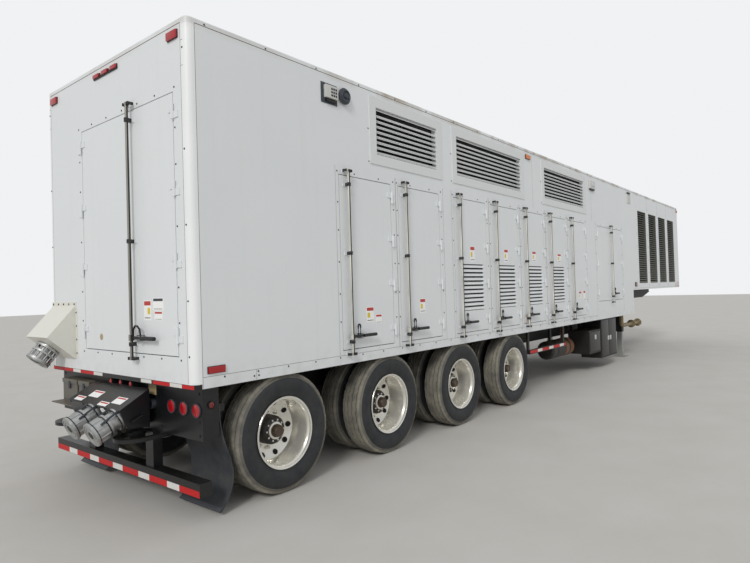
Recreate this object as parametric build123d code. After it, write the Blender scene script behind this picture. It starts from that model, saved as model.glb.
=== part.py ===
from build123d import *
import os
from math import hypot

os.makedirs("parts", exist_ok=True)

# Trailer-mounted gas generator set. All sizes are in millimetres.
# While it is modelled, x runs forward from the rear face, y to the left and z up from the ground.

# Enclosure
body_length = 16490
body_width = 2591
body_top = 3948
roof_thickness = 60
wall_thickness = 75
corner_radius = 55
skirt_bottom = 1046
skirt_thickness = 28
rear_wall_bottom = 1084
deck_bottom = 1100
deck_thickness = 60
step_x = 11700
neck_bottom = 1597
neck_deck_thickness = 60

# Right side doorways, given by their rear edges
door_edges = [1680, 2650, 3825, 4810, 5790, 6755, 7730]
door_width = 840
door_bottom = 1180
door_top = 2940
double_door_edge = 9270
double_door_width = 1610
double_door_bottom = 1410
double_rear_leaf_share = 0.445
rear_door_inset = 195.5
rear_door_right = rear_door_inset - body_width / 2
rear_door_left = 520
rear_door_split = -360
rear_door_bottom = 1290
rear_door_below_top = 558
rear_door_top = body_top - rear_door_below_top

# Door leaves
leaf_thickness = 50
leaf_gap = 8
leaf_pair_gap = 14
louvred_doors = [2, 3, 4, 5]
door_louvre_inset = 200
door_louvre_width = 530
door_louvre_bottom = 1465
door_louvre_count = 11
door_louvre_pitch = 56
door_louvre_depth = 18
door_blade_lip = 8
door_blade_thickness = 8
door_blade_rise = 22
door_blade_root = 16

# Hinges
hinge_out = 14
hinge_back = 12
knuckle_size = 12
knuckle_length = 62
knuckle_gap = 0.3
strap_length = 60
strap_lip = 4
strap_clearance = 8
strap_thickness = 8
strap_height = 56
door_hinge_heights = [1335, 1820, 2305, 2785]
double_hinge_heights = [1595, 2185, 2780]
rear_top_hinge_drop = 160
rear_hinge_heights = [1460, 2050, 2620, rear_door_top - rear_top_hinge_drop]

# Lock rods, turned by a handle
rod_radius = 14
rod_out = 50
rod_inset = 95
rod_overrun = 50
cam_length = 40
cam_width = 26
cam_height = 26
keeper_gap = 7
keeper_wall = 8
handle_length = 365
handle_height = 26
handle_thickness = 10
handle_hub_wall = 9
handle_hub_height = 50
grip_length = 200
grip_radius = 17
handle_z = 1315
double_handle_z = 1550
rear_handle_z = 1430
guide_gap = 0.4
guide_wall = 7
guide_height = 34
guide_neck = 22
guide_foot = 70
guide_foot_thickness = 6
guide_low = 60
guide_high = 110
guide_middles = (2150, 2190, 2250)
catch_along = 110
catch_width = 34
catch_reach = 12
catch_thickness = 6
catch_gap = 6

# Louvres high in the walls: rear edge and width of each opening
wall_louvres = [(2250, 1260), (3890, 1980), (6680, 1940)]
wall_louvre_over_doors = 250
wall_louvre_below_top = 168
wall_louvre_bottom = door_top + wall_louvre_over_doors
wall_louvre_top = body_top - wall_louvre_below_top
louvre_frame_width = 68
louvre_frame_proud = 10
louvre_frame_lap = 40
blade_pitch = 57
blade_thickness = 4
blade_rise = 46
blade_depth = 52
blade_start = 9
blade_let_in = 6
blade_set_back = 4

# Radiator bays over the neck
radiator_edge = 12240
radiator_width = 730
radiator_pitch = 985
radiator_bottom = 1750
radiator_below_top = 438
radiator_top = body_top - radiator_below_top
radiator_blade_pitch = 54
radiator_blade_rise = 30
radiator_blade_depth = 36
grille_rim = 12

# Running gear
axle_places = [927, 2432, 3932, 5437]
tyre_radius = 533
tyre_width = 280
tyre_bead_radius = 300
tyre_bead_width = 210
tyre_pitch = 330
tyre_wall_radius = 465
tyre_wall_inset = 6
tyre_shoulder_radius = 505
tyre_shoulder_inset = 32
tyre_tread_inset = 40
rim_gap = 0.3
rim_wall = 15
flange_radius = 318
flange_width = 12
flange_face = 22
flange_flare = 45
disc_thickness = 44
disc_inner_radius = 95
disc_outer_radius = 258
hand_hole_count = 10
hand_hole_radius = 28
hand_hole_circle = 205
hub_radius = 140
hub_reach = 215
hub_back_radius = 150
hub_back_reach = 200
hub_cap_radius = 75
spindle_radius = 40
spindle_gap = 0.3
spindle_inset = 15
axle_radius = 63.5
axle_end_inset = 350

# Suspension
beam_y = 450
beam_width = 150
beam_bottom = 720
arm_width = 80
arm_depth = 80
hanger_ahead = 600
hanger_length = 110
hanger_drop = 20
bag_behind = 250
bag_radius = 120

# Chassis
neck_beam_bottom = 1380
neck_beam_drop = 1340
neck_drop_from_front = 2390
neck_drop_length = 1300
neck_nose_from_front = 340
neck_nose_chamfer = 50
neck_nose_bottom = 1480
neck_web_bottom = 1200
neck_web_length = 300
beam_taper = 180
first_crossmember = 500
last_crossmember_margin = 400
crossmember_count = 8
crossmember_depth = 300
crossmember_width = 90
neck_crossmember_rise = 40
neck_crossmembers_ahead = (100, 1300, 2300)
outrigger_places = [330, 1680, 3182, 4685, 6500, 8000, 9200, 10800]
outrigger_width = 80
outrigger_depth = 76
plate_thickness = 16
plate_half_length = 500
spacer_half_length = 150
kingpin_from_front = 1190
kingpin_radius = 36.5
kingpin_body_length = 30
kingpin_neck_radius = 25.4
kingpin_neck_end = 61
kingpin_flange_radius = 35.7
kingpin_length = 84

# Landing gear
leg_x = 11950
leg_y = 880
leg_tube = 140
leg_tube_wall = 10
leg_gap = 5
leg_pad_gap = 0.3
leg_pad_height = 60
leg_top = 1000
leg_tube_bottom = 600
leg_tube_cap = 20
leg_arm_bottom = 1400
leg_arm_size = 100
leg_box_half = 60
leg_box_bottom = 1010
leg_box_height = 80
leg_shaft_z = 1080
leg_shaft_radius = 18
foot_size = 280
foot_thickness = 14
foot_height = 60
ear_height = 110
ear_thickness = 12

# Rear end
panel_rear = 90
panel_thickness = 60
panel_bottom = 630
panel_inset = 33
rail_rear = 4
rail_bottom = 1046
return_length = 90
return_thickness = 7
return_corner = 60
bumper_rear = 30
bumper_size = 110
bumper_bottom = 215
bumper_inset = 6
upright_y = 535
upright_width = 120
upright_rear = 45
upright_depth = 85
tow_loop_y = 565
tow_loop_outer = 165
tow_loop_inner = 108
tow_loop_reach = 265
tow_loop_height = 30
flap_top_x = 250
flap_thickness = 10
flap_inset = 45
flap_width = 590
flap_top = 900
flap_straight = 70
flap_path = [(300, 560), (366, 270), (235, 35)]
flap_bar_height = 60
flap_bar_depth = 40
housing_right = -597
housing_left = 357
housing_profile = [(20, 1000), (-242, 858), (-171, 700), (20, 680)]
housing_back_inset = 150
housing_back_top = 980
coupler_ys = [-100, -490]
coupler_radius = 105
coupler_length = 230
stowage_boxes = [(470, 700), (735, 1060)]
stowage_box_bottom = 745
stowage_box_top = 968
stowage_box_rear = 2
stowage_tray_rear = -90
stowage_tray_y = (450, 1120)
stowage_tray_thickness = 10
hood_inset = 50
hood_width = 515
hood_top = 1714
hood_bottom = 1175
hood_reach = 270
hood_apex = 1410
hood_flange = 20
hood_flange_thickness = 8
hood_flange_bottom = 1674
hood_flange_top = 1744
hood_coupler_y = 1050
hood_coupler_radius = 95
hood_coupler_length = 170

# Gear under the side
cabinet_inset = 95
cabinet_depth = 420
cabinet_x = (9600, 10600)
cabinet_bottom = 230
small_cabinet_x = (8900, 9560)
small_cabinet_bottom = 380
small_cabinet_top = 840
cabinet_strap_width = 50
cabinet_strap_depth = 60
cabinet_strap_inset = 80
side_rail_x = (6060, 7570)
side_rail_bottom = 680
side_rail_height = 70
side_rail_inset = 45
side_rail_thickness = 30
side_rail_post = 60
tank_x = (7650, 8700)
tank_radius = 170
tank_rounding = 50
tank_inset = 475.5
tank_y = body_width / 2 - tank_inset
tank_z = 560
tank_hanger_inset = 200
tank_hanger_length = 60
tank_hanger_width = 40
tank_hanger_sink = 10
inlet_inset = 165
inlet_z = 790
inlet_radius = 45
inlet_bend = 110
inlet_flange_radius = 92
inlet_flange_thickness = 20
inlet_joint_x = 12000
inlet_joint_gap = 4
inlet_rise_x = 11250
inlet_end = 12550
bolt_circle = 150
bolt_hole_radius = 9
bolt_hole_count = 4

# Lamps: rear edge, front edge, bottom, top and how proud each stands
amber_marker = (6020, 6190, body_top - 168, body_top - 98, 22)
neck_marker = (11850, 12000, 1675, 1780, 18)
rear_reflector = (120, 287, 1155, 1215, 14)
floodlight = (1465, 1690, body_top - 338, body_top - 138, 45)
wall_light = (8900, 9170, body_top - 328, body_top - 138, 45)
front_marker_from_front = 160
front_marker_length = 90
top_lamp_below_top = 148
top_lamp_bottom = body_top - top_lamp_below_top
top_lamp_height = 70
top_lamp_proud = 22
corner_lamp_inset = 170
corner_lamp_length = 90
centre_lamp_length = 120
centre_lamp_pitch = 164
tail_lamp_first_y = 830
tail_lamp_pitch = 178
tail_lamp_count = 3
tail_lamp_z = 866
tail_lamp_radius = 58
tail_lamp_proud = 14
sill_lamp_pitch = 180
sill_lamp_z = 1022
sill_lamp_radius = 20
return_lamp_x = 168
return_lamp_z = 907
return_lamp_radius = 30
horn_x = 1780
horn_z = body_top - 218
horn_radius = 82
horn_proud = 60

half_width = body_width / 2
inner_half = half_width - wall_thickness
corner_size = wall_thickness
roof_bottom = body_top - roof_thickness
deck_top = deck_bottom + deck_thickness
panel_front = panel_rear + panel_thickness
panel_half_width = half_width - panel_inset
coupler_face = ((housing_profile[1][0] + housing_profile[2][0]) / 2,
                (housing_profile[1][1] + housing_profile[2][1]) / 2)
face_run = housing_profile[2][0] - housing_profile[1][0]
face_drop = housing_profile[1][1] - housing_profile[2][1]
face_slope = hypot(face_run, face_drop)
coupler_direction = (-face_drop / face_slope, -face_run / face_slope)
rear_reach = -(coupler_face[0] + coupler_direction[0] * coupler_length
               + coupler_direction[1] * coupler_radius)
origin_x = (body_length - rear_reach) / 2


def block(x0, x1, y0, y1, z0, z1):
    """A box between two corners."""
    return Pos((x0 + x1) / 2, (y0 + y1) / 2, (z0 + z1) / 2) * Box(x1 - x0, y1 - y0, z1 - z0)


def side_block(x0, x1, out0, out1, z0, z1):
    """A box on the right side, out0 to out1 outside the skin (negative is inside)."""
    return block(x0, x1, -half_width - out1, -half_width - out0, z0, z1)


def rear_block(y0, y1, out0, out1, z0, z1):
    """A box on the rear face, out0 to out1 outside the skin."""
    return block(-out1, -out0, y0, y1, z0, z1)


def square_post(x, y, half, z0, z1):
    """An upright square post about (x, y)."""
    return block(x - half, x + half, y - half, y + half, z0, z1)


def joined(pieces):
    """One part fused from several pieces."""
    return Part() + pieces


def mirrored(piece):
    """The same piece on the other side of the trailer."""
    return piece.mirror(Plane.XZ)


def both_sides(pieces):
    """Each right-hand piece and its mirror image."""
    return pieces + [mirrored(piece) for piece in pieces]


def prism_across(points, y0, y1):
    """An outline in the x, z plane, drawn out from y0 to y1."""
    face = make_face(Polyline([(x, y1, z) for x, z in points], close=True))
    return extrude(face, amount=y1 - y0, dir=(0, -1, 0))


def prism_along(points, x0, x1):
    """An outline in the y, z plane, drawn out from x0 to x1."""
    face = make_face(Polyline([(x0, y, z) for y, z in points], close=True))
    return extrude(face, amount=x1 - x0, dir=(1, 0, 0))


def turned(points):
    """A ring turned about the y axis from (radius, y) points."""
    face = make_face(Polyline([(radius, y, 0) for radius, y in points], close=True))
    return revolve(face, Axis.Y, 360)


def save(name, pieces):
    """Writes one node, with the origin under the middle of the whole unit."""
    solids = [solid.moved(Location((-origin_x, 0, 0))) for piece in pieces for solid in piece.solids()]
    export_step(solids[0] if len(solids) == 1 else Compound(children=solids), f"parts/{name}.step")


# Walls of the right side

doorways = [(edge, edge + door_width, door_bottom) for edge in door_edges]
doorways.append((double_door_edge, double_door_edge + double_door_width, double_door_bottom))


def right_sill():
    outline = [(-half_width, skirt_bottom), (-half_width, door_bottom), (-inner_half, door_bottom),
               (-inner_half, deck_bottom), (-half_width + skirt_thickness, deck_bottom),
               (-half_width + skirt_thickness, skirt_bottom)]
    return prism_along(outline, corner_size, step_x)


def right_posts():
    wall = side_block(corner_size, step_x, -wall_thickness, 0, door_bottom, door_top)
    gaps = [side_block(x0, x1, -wall_thickness, 0, z0, door_top) for x0, x1, z0 in doorways]
    return wall - gaps


def right_header():
    wall = side_block(corner_size, step_x, -wall_thickness, 0, door_top, roof_bottom)
    gaps = [side_block(x, x + width, -wall_thickness, 0, wall_louvre_bottom, wall_louvre_top)
            for x, width in wall_louvres]
    return wall - gaps


radiator_run = body_length - corner_size - radiator_edge + radiator_pitch - radiator_width
radiator_places = [radiator_edge + radiator_pitch * i for i in range(int(radiator_run // radiator_pitch))]


def right_radiator_frame():
    wall = side_block(step_x, body_length - corner_size, -wall_thickness, 0, neck_bottom, roof_bottom)
    gaps = [side_block(x, x + radiator_width, -wall_thickness, 0, radiator_bottom, radiator_top)
            for x in radiator_places]
    return wall - gaps


def inclined_blade(x0, x1, z, rise, depth):
    """A louvre blade that slopes down towards the outside."""
    y_out = -half_width + blade_set_back
    y_in = y_out + depth
    outline = [(y_out, z), (y_out, z + blade_thickness), (y_in, z + rise + blade_thickness), (y_in, z + rise)]
    return prism_along(outline, x0, x1)


def wall_louvre(x, width):
    """A proud frame round an opening, with its blades let into the frame."""
    height_low = wall_louvre_bottom
    height_high = wall_louvre_top
    frame = side_block(x - louvre_frame_width, x + width + louvre_frame_width, 0, louvre_frame_proud,
                       height_low - louvre_frame_width, height_high + louvre_frame_width)
    lining = side_block(x, x + width, -wall_thickness, louvre_frame_proud, height_low, height_high)
    bore = side_block(x + louvre_frame_lap, x + width - louvre_frame_lap, -wall_thickness,
                      louvre_frame_proud, height_low + louvre_frame_lap, height_high - louvre_frame_lap)
    clear = height_high - height_low - 2 * louvre_frame_lap - blade_start
    count = int((clear - blade_rise) // blade_pitch) + 1
    reach = louvre_frame_lap - blade_let_in
    first = height_low + louvre_frame_lap + blade_start
    blades = [inclined_blade(x + reach, x + width - reach, first + blade_pitch * i, blade_rise, blade_depth)
              for i in range(count)]
    return joined([joined([frame, lining]) - bore] + blades)


def radiator_grille():
    """One radiator bay: a thin frame with its blades, its rear edge at x = 0."""
    rim = side_block(0, radiator_width, -wall_thickness, 0, radiator_bottom, radiator_top)
    bore = side_block(grille_rim, radiator_width - grille_rim, -wall_thickness, 0,
                      radiator_bottom + grille_rim, radiator_top - grille_rim)
    clear = radiator_top - radiator_bottom - 2 * grille_rim - blade_start
    count = int((clear - radiator_blade_rise) // radiator_blade_pitch) + 1
    reach = grille_rim - blade_let_in
    first = radiator_bottom + grille_rim + blade_start
    blades = [inclined_blade(reach, radiator_width - reach, first + radiator_blade_pitch * i,
                             radiator_blade_rise, radiator_blade_depth) for i in range(count)]
    return joined([rim - bore] + blades)


# Ends, decks and roof

def rear_wall():
    wall = block(0, wall_thickness, -half_width + corner_size, half_width - corner_size,
                 rear_wall_bottom, roof_bottom)
    return wall - block(0, wall_thickness, rear_door_right, rear_door_left, rear_door_bottom, rear_door_top)


def corner_post(x_outer, x_inner, z0):
    """A rounded post at the right corner, from z0 to the roof."""
    post = block(min(x_outer, x_inner), max(x_outer, x_inner), -half_width,
                 -half_width + corner_size, z0, roof_bottom)
    edges = post.edges().filter_by(Axis.Z)
    outer = [e for e in edges if abs(e.center().X - x_outer) < 1 and abs(e.center().Y + half_width) < 1]
    return fillet(outer, corner_radius)


def roof():
    plate = block(0, body_length, -half_width, half_width, roof_bottom, body_top)
    corners = fillet(plate.edges().filter_by(Axis.Z), corner_radius)
    return fillet(corners.faces().sort_by(Axis.Z)[-1].edges(), 20)


def floor():
    x0 = wall_thickness
    x1 = body_length - wall_thickness
    back = step_x - deck_thickness
    neck_top = neck_bottom + neck_deck_thickness
    outline = [(x0, deck_bottom), (step_x, deck_bottom), (step_x, neck_bottom), (x1, neck_bottom),
               (x1, neck_top), (back, neck_top), (back, deck_top), (x0, deck_top)]
    return prism_across(outline, -inner_half, inner_half)


# Doors on the right side. A leaf is drawn closed; its hinge line is given with it.

def knuckle(x, y, z, height):
    return Pos(x, y, z + height / 2) * extrude(RegularPolygon(knuckle_size, 8, major_radius=False),
                                               height / 2, both=True)


def side_leaf(x0, x1, z0, z1, hinge_forward, heights):
    """A flush leaf between the jambs, with its hinge halves."""
    leaf = side_block(x0, x1, -leaf_thickness, 0, z0, z1)
    step = 1 if hinge_forward else -1
    edge = x1 if hinge_forward else x0
    halves = []
    for z in heights:
        reach = edge + step * strap_lip
        back = edge - step * strap_length
        halves.append(side_block(min(reach, back), max(reach, back), 0, strap_thickness,
                                 z + knuckle_gap / 2, z + strap_height))
        halves.append(knuckle(edge + step * hinge_back, -half_width - hinge_out,
                              z + knuckle_gap / 2, knuckle_length))
    return joined([leaf] + halves)


def side_hinge_half(edge, step, z):
    """The half of a hinge that stays on the wall."""
    near = edge + step * (hinge_back + strap_clearance)
    far = near + step * strap_length
    strap = side_block(min(near, far), max(near, far), 0, strap_thickness,
                       z - strap_height, z - knuckle_gap / 2)
    barrel = knuckle(edge + step * hinge_back, -half_width - hinge_out,
                     z - knuckle_gap / 2 - knuckle_length, knuckle_length)
    return joined([strap, barrel])


def door_louvre(x0):
    """A pressed louvre panel: a shallow recess and its blades."""
    height = door_louvre_count * door_louvre_pitch
    recess = side_block(x0, x0 + door_louvre_width, -door_louvre_depth, 0,
                        door_louvre_bottom, door_louvre_bottom + height)
    blades = []
    for i in range(door_louvre_count):
        z = door_louvre_bottom + door_louvre_pitch * i
        lip = z + door_blade_lip
        root = lip + door_blade_rise
        outline = [(-half_width + door_louvre_depth, root), (-half_width, lip),
                   (-half_width, lip + door_blade_thickness),
                   (-half_width + door_louvre_depth, root + door_blade_root)]
        blades.append(prism_along(outline, x0, x0 + door_louvre_width))
    return recess, blades


def guide(x, z):
    """A footed collar on the leaf that holds the lock rod, with a running gap."""
    inner = rod_radius + guide_gap
    outer = inner + guide_wall
    foot = side_block(x - guide_foot / 2, x + guide_foot / 2, 0, guide_foot_thickness, z, z + guide_height)
    neck = side_block(x - guide_neck / 2, x + guide_neck / 2, 0, rod_out, z, z + guide_height)
    ring = RegularPolygon(outer, 8, major_radius=False)
    collar = Pos(x, -half_width - rod_out, z) * extrude(ring, guide_height)
    bore = Pos(x, -half_width - rod_out, z + guide_height / 2) * Cylinder(inner, guide_height * 2)
    return joined([foot, neck, collar]) - bore


def catch(x, z):
    """The two lips that the handle rests between, open outwards."""
    low = z - handle_height / 2 - catch_gap
    high = z + handle_height / 2 + catch_gap
    reach = rod_out + catch_reach
    return [side_block(x, x + catch_width, 0, reach, low - catch_thickness, low),
            side_block(x, x + catch_width, 0, reach, high, high + catch_thickness)]


def leaf_fittings(rod_x, z0, z1, middle, grip_z):
    """Rod guides low, in the middle and high, and the catch of the handle."""
    places = [z0 + guide_low, middle - guide_height / 2, z1 - guide_high]
    return [guide(rod_x, z) for z in places] + catch(rod_x + catch_along, grip_z)


def lock_rod(x, z0, z1, grip_z):
    """A lock rod with a cam at each end and a handle with a round grip."""
    y = -half_width - rod_out
    rod = Pos(x, y, (z0 + z1) / 2) * Cylinder(rod_radius, z1 - z0)
    cams = [block(x - cam_width / 2, x + cam_length - cam_width / 2, y - cam_width / 2, y + cam_width / 2,
                  z, z + cam_height) for z in (z0, z1 - cam_height)]
    hub = Pos(x, y, grip_z) * Cylinder(rod_radius + handle_hub_wall, handle_hub_height)
    bar = block(x, x + handle_length - grip_length / 2, y - handle_thickness / 2,
                y + handle_thickness / 2, grip_z - handle_height / 2, grip_z + handle_height / 2)
    grip_x = x + handle_length - grip_length / 2
    grip = Pos(grip_x, y, grip_z) * Rot(0, 90, 0) * Cylinder(grip_radius, grip_length)
    return joined([rod, hub, bar, grip] + cams)


def keeper(x, z):
    """A keeper on the wall, open outwards, that the cam turns into."""
    side = hypot(cam_length - cam_width / 2, cam_width / 2) + keeper_gap
    base = side_block(x - side - keeper_wall, x + side + keeper_wall, 0, keeper_wall / 2,
                      z, z + cam_height)
    lugs = [side_block(x + a, x + a + keeper_wall, 0, rod_out + rod_radius, z, z + cam_height)
            for a in (-side - keeper_wall, side)]
    return joined([base] + lugs)


rod_low = door_bottom - rod_overrun
rod_high = door_top + rod_overrun
double_rod_low = double_door_bottom - rod_overrun
double_split = double_door_edge + double_door_width * double_rear_leaf_share
double_rod_x = double_split + rod_inset
rod_places = [edge + rod_inset for edge in door_edges]


def single_leaf(index):
    x0 = door_edges[index] + leaf_gap
    x1 = door_edges[index] + door_width - leaf_gap
    z0 = door_bottom + leaf_gap
    z1 = door_top - leaf_gap
    leaf = side_leaf(x0, x1, z0, z1, True, door_hinge_heights)
    if index in louvred_doors:
        recess, blades = door_louvre(x0 + door_louvre_inset)
        leaf = joined([leaf - recess] + blades)
    return joined([leaf] + leaf_fittings(rod_places[index], z0, z1, guide_middles[0], handle_z))


def double_leaves():
    z0 = double_door_bottom + leaf_gap
    z1 = door_top - leaf_gap
    rear = side_leaf(double_door_edge + leaf_gap, double_split - leaf_pair_gap / 2, z0, z1, False,
                     double_hinge_heights)
    front = side_leaf(double_split + leaf_pair_gap / 2, double_door_edge + double_door_width - leaf_gap,
                      z0, z1, True, double_hinge_heights)
    extras = leaf_fittings(double_rod_x, z0, z1, guide_middles[1], double_handle_z)
    return rear, joined([front] + extras)


def single_rod(index):
    return lock_rod(rod_places[index], rod_low, rod_high, handle_z)


def double_rod():
    return lock_rod(double_rod_x, double_rod_low, rod_high, double_handle_z)


# Rear doors. Their leaves, rods and fittings are those of the side, turned onto the rear face:
# a place x along the side becomes y = -x on the rear.

def on_rear(piece):
    return Rot(0, 0, -90) * Pos(0, half_width, 0) * piece


rear_rod_y = rear_door_split - rod_inset
rear_rod_low = rear_door_bottom - rod_overrun
rear_rod_high = rear_door_top + rod_overrun


def rear_leaves():
    z0 = rear_door_bottom + leaf_gap
    z1 = rear_door_top - leaf_gap
    left = side_leaf(-rear_door_left + leaf_gap, -rear_door_split - leaf_pair_gap / 2, z0, z1, False,
                     rear_hinge_heights)
    right = side_leaf(-rear_door_split + leaf_pair_gap / 2, -rear_door_right - leaf_gap, z0, z1, True,
                      rear_hinge_heights)
    extras = leaf_fittings(-rear_rod_y, z0, z1, guide_middles[2], rear_handle_z)
    return on_rear(left), on_rear(joined([right] + extras))


def rear_rod():
    return on_rear(lock_rod(-rear_rod_y, rear_rod_low, rear_rod_high, rear_handle_z))


def side_fittings():
    """Hinge halves and keepers that stay on the right wall."""
    pieces = []
    for edge in door_edges:
        front = edge + door_width - leaf_gap
        pieces += [side_hinge_half(front, 1, z) for z in door_hinge_heights]
        pieces += [keeper(edge + rod_inset, z) for z in (rod_low, rod_high - cam_height)]
    for z in double_hinge_heights:
        pieces.append(side_hinge_half(double_door_edge + leaf_gap, -1, z))
        pieces.append(side_hinge_half(double_door_edge + double_door_width - leaf_gap, 1, z))
    pieces += [keeper(double_rod_x, z) for z in (double_rod_low, rod_high - cam_height)]
    return pieces


def rear_fittings():
    """Hinge halves and keepers that stay on the rear wall."""
    pieces = []
    for z in rear_hinge_heights:
        pieces.append(side_hinge_half(-rear_door_left + leaf_gap, -1, z))
        pieces.append(side_hinge_half(-rear_door_right - leaf_gap, 1, z))
    pieces += [keeper(-rear_rod_y, z) for z in (rear_rod_low, rear_rod_high - cam_height)]
    return [on_rear(piece) for piece in pieces]


# Wheels. t is measured outwards from the face where the two discs of a pair meet.

# The outer tyre's wall is flush with the body.
tyre_offset = tyre_pitch / 2
pair_middle = half_width - tyre_width / 2 - tyre_offset
axle_z = tyre_radius


def tyre(t):
    half = tyre_width / 2
    bead = tyre_bead_width / 2
    bulge = (flange_radius + tyre_shoulder_radius) / 2
    right = [(tyre_bead_radius, bead), (flange_radius + 2, bead), (bulge, half),
             (tyre_wall_radius, half - tyre_wall_inset), (tyre_shoulder_radius, half - tyre_shoulder_inset),
             (tyre_radius, half - tyre_tread_inset)]
    outline = right + [(radius, -y) for radius, y in reversed(right)]
    return Pos(0, -t, 0) * turned(outline)


def wheel_pair():
    """Two deep wheels bolted back to back on a hub, seen from outside as a dish."""
    out = tyre_bead_radius - rim_gap
    inside = out - rim_wall
    end = tyre_offset + tyre_bead_width / 2 + flange_width
    lip = end - flange_width + rim_gap
    half = disc_thickness / 2
    right = [(disc_inner_radius, half), (disc_outer_radius, half), (inside, half + 40),
             (inside, end - flange_flare), (flange_radius - flange_face, end - 3),
             (flange_radius - flange_face + 4, end), (flange_radius - 5, end), (flange_radius, end - 4),
             (flange_radius, lip), (out, lip), (out, half + 10), (out - 32, 0)]
    left = [(radius, -t) for radius, t in reversed(right[:-1])]
    discs = turned([(radius, -t) for radius, t in right + left])
    bore = spindle_radius + spindle_gap
    hub = turned([(bore, hub_back_reach), (hub_back_radius, hub_back_reach), (hub_back_radius, half),
                  (hub_radius, half), (hub_radius, -half), (hub_radius - 20, -half - 60),
                  (hub_cap_radius, -half - 70), (hub_cap_radius - 5, -hub_reach), (bore, -hub_reach)])
    holes = [Rot(0, 360 / hand_hole_count * i, 0) * Pos(hand_hole_circle, 0, 0) * Rot(90, 0, 0)
             * Cylinder(hand_hole_radius, disc_thickness * 2) for i in range(hand_hole_count)]
    return joined([discs - holes, hub])


def at_axle(piece, x):
    return Pos(x, -pair_middle, axle_z) * piece


def axle(x):
    tube = Pos(x, 0, axle_z) * Rot(90, 0, 0) * Cylinder(axle_radius, 2 * (pair_middle - axle_end_inset))
    reach = pair_middle + hub_reach - spindle_inset
    spindle = Pos(x, 0, axle_z) * Rot(90, 0, 0) * Cylinder(spindle_radius, 2 * reach)
    return joined([tube, spindle])


def suspension_side(x):
    """Trailing arm under the axle, its hanger ahead and its air bag behind."""
    y0 = -beam_y - arm_width / 2
    y1 = -beam_y + arm_width / 2
    arm_top = axle_z - axle_radius
    arm = block(x - bag_behind - bag_radius, x + hanger_ahead, y0, y1, arm_top - arm_depth, arm_top)
    hanger = block(x + hanger_ahead - hanger_length / 2, x + hanger_ahead + hanger_length / 2, y0, y1,
                   arm_top - arm_depth - hanger_drop, beam_bottom)
    bag = Pos(x - bag_behind, -beam_y, (arm_top + beam_bottom) / 2)
    bag = bag * Cylinder(bag_radius, beam_bottom - arm_top)
    return joined([arm, hanger, bag])


# Chassis

def main_beam():
    drop_start = body_length - neck_drop_from_front
    nose = body_length - neck_nose_from_front
    web_end = step_x + neck_web_length
    outline = [(panel_front, beam_bottom), (panel_front, deck_bottom), (step_x, deck_bottom),
               (step_x, neck_bottom), (nose - neck_nose_chamfer, neck_bottom), (nose, neck_nose_bottom),
               (drop_start + neck_drop_length, neck_beam_drop), (drop_start, neck_beam_drop),
               (drop_start, neck_beam_bottom), (web_end, neck_beam_bottom),
               (web_end, neck_web_bottom), (step_x - beam_taper, beam_bottom)]
    return prism_across(outline, -beam_y - beam_width / 2, -beam_y + beam_width / 2)


beam_inner = beam_y - beam_width / 2
beam_outer = beam_y + beam_width / 2


def crossmembers():
    step = (step_x - first_crossmember - last_crossmember_margin) / (crossmember_count - 1)
    low = deck_bottom - crossmember_depth
    places = [first_crossmember + step * i for i in range(crossmember_count)]
    return [block(x, x + crossmember_width, -beam_inner, beam_inner, low, deck_bottom) for x in places]


def outriggers():
    return [block(x, x + outrigger_width, -inner_half, -beam_outer, deck_bottom - outrigger_depth, deck_bottom)
            for x in outrigger_places]


def neck_crossmembers():
    low = neck_beam_bottom + neck_crossmember_rise
    return [block(step_x + ahead, step_x + ahead + crossmember_width, -beam_inner, beam_inner, low, neck_bottom)
            for ahead in neck_crossmembers_ahead]


def kingpin():
    """The coupler plate with its kingpin."""
    x = body_length - kingpin_from_front
    z = neck_beam_drop
    plate = block(x - plate_half_length, x + plate_half_length, -beam_inner, beam_inner, z, z + plate_thickness)
    spacer = block(x - spacer_half_length, x + spacer_half_length, -beam_inner, beam_inner,
                   z + plate_thickness, neck_bottom)
    outline = [(0, 0), (kingpin_radius, 0), (kingpin_radius, -kingpin_body_length),
               (kingpin_neck_radius, -kingpin_body_length), (kingpin_neck_radius, -kingpin_neck_end),
               (kingpin_flange_radius, -kingpin_neck_end), (kingpin_flange_radius, -kingpin_length),
               (0, -kingpin_length)]
    face = make_face(Polyline([(radius, 0, height) for radius, height in outline], close=True))
    pin = Pos(x, 0, z) * revolve(face, Axis.Z, 360)
    return joined([plate, spacer, pin])


# Landing gear

leg_outer = leg_tube / 2
leg_size = leg_tube - 2 * leg_tube_wall - 2 * leg_gap


def leg_housing():
    top = neck_bottom
    tube = square_post(leg_x, -leg_y, leg_outer, leg_tube_bottom, top)
    bore = square_post(leg_x, -leg_y, leg_outer - leg_tube_wall, leg_tube_bottom, top - leg_tube_cap)
    arm = block(leg_x - leg_arm_size / 2, leg_x + leg_arm_size / 2, -leg_y + leg_outer, -beam_outer,
                leg_arm_bottom, leg_arm_bottom + leg_arm_size)
    gearbox = block(leg_x - leg_outer - leg_box_half, leg_x - leg_outer, -leg_y - leg_box_half,
                    -leg_y + leg_box_half, leg_box_bottom, leg_box_bottom + leg_box_height)
    return joined([tube - bore, arm, gearbox])


def leg_shaft():
    inner = leg_y - leg_outer
    return Pos(leg_x, 0, leg_shaft_z) * Rot(90, 0, 0) * Cylinder(leg_shaft_radius, 2 * inner)


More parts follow.
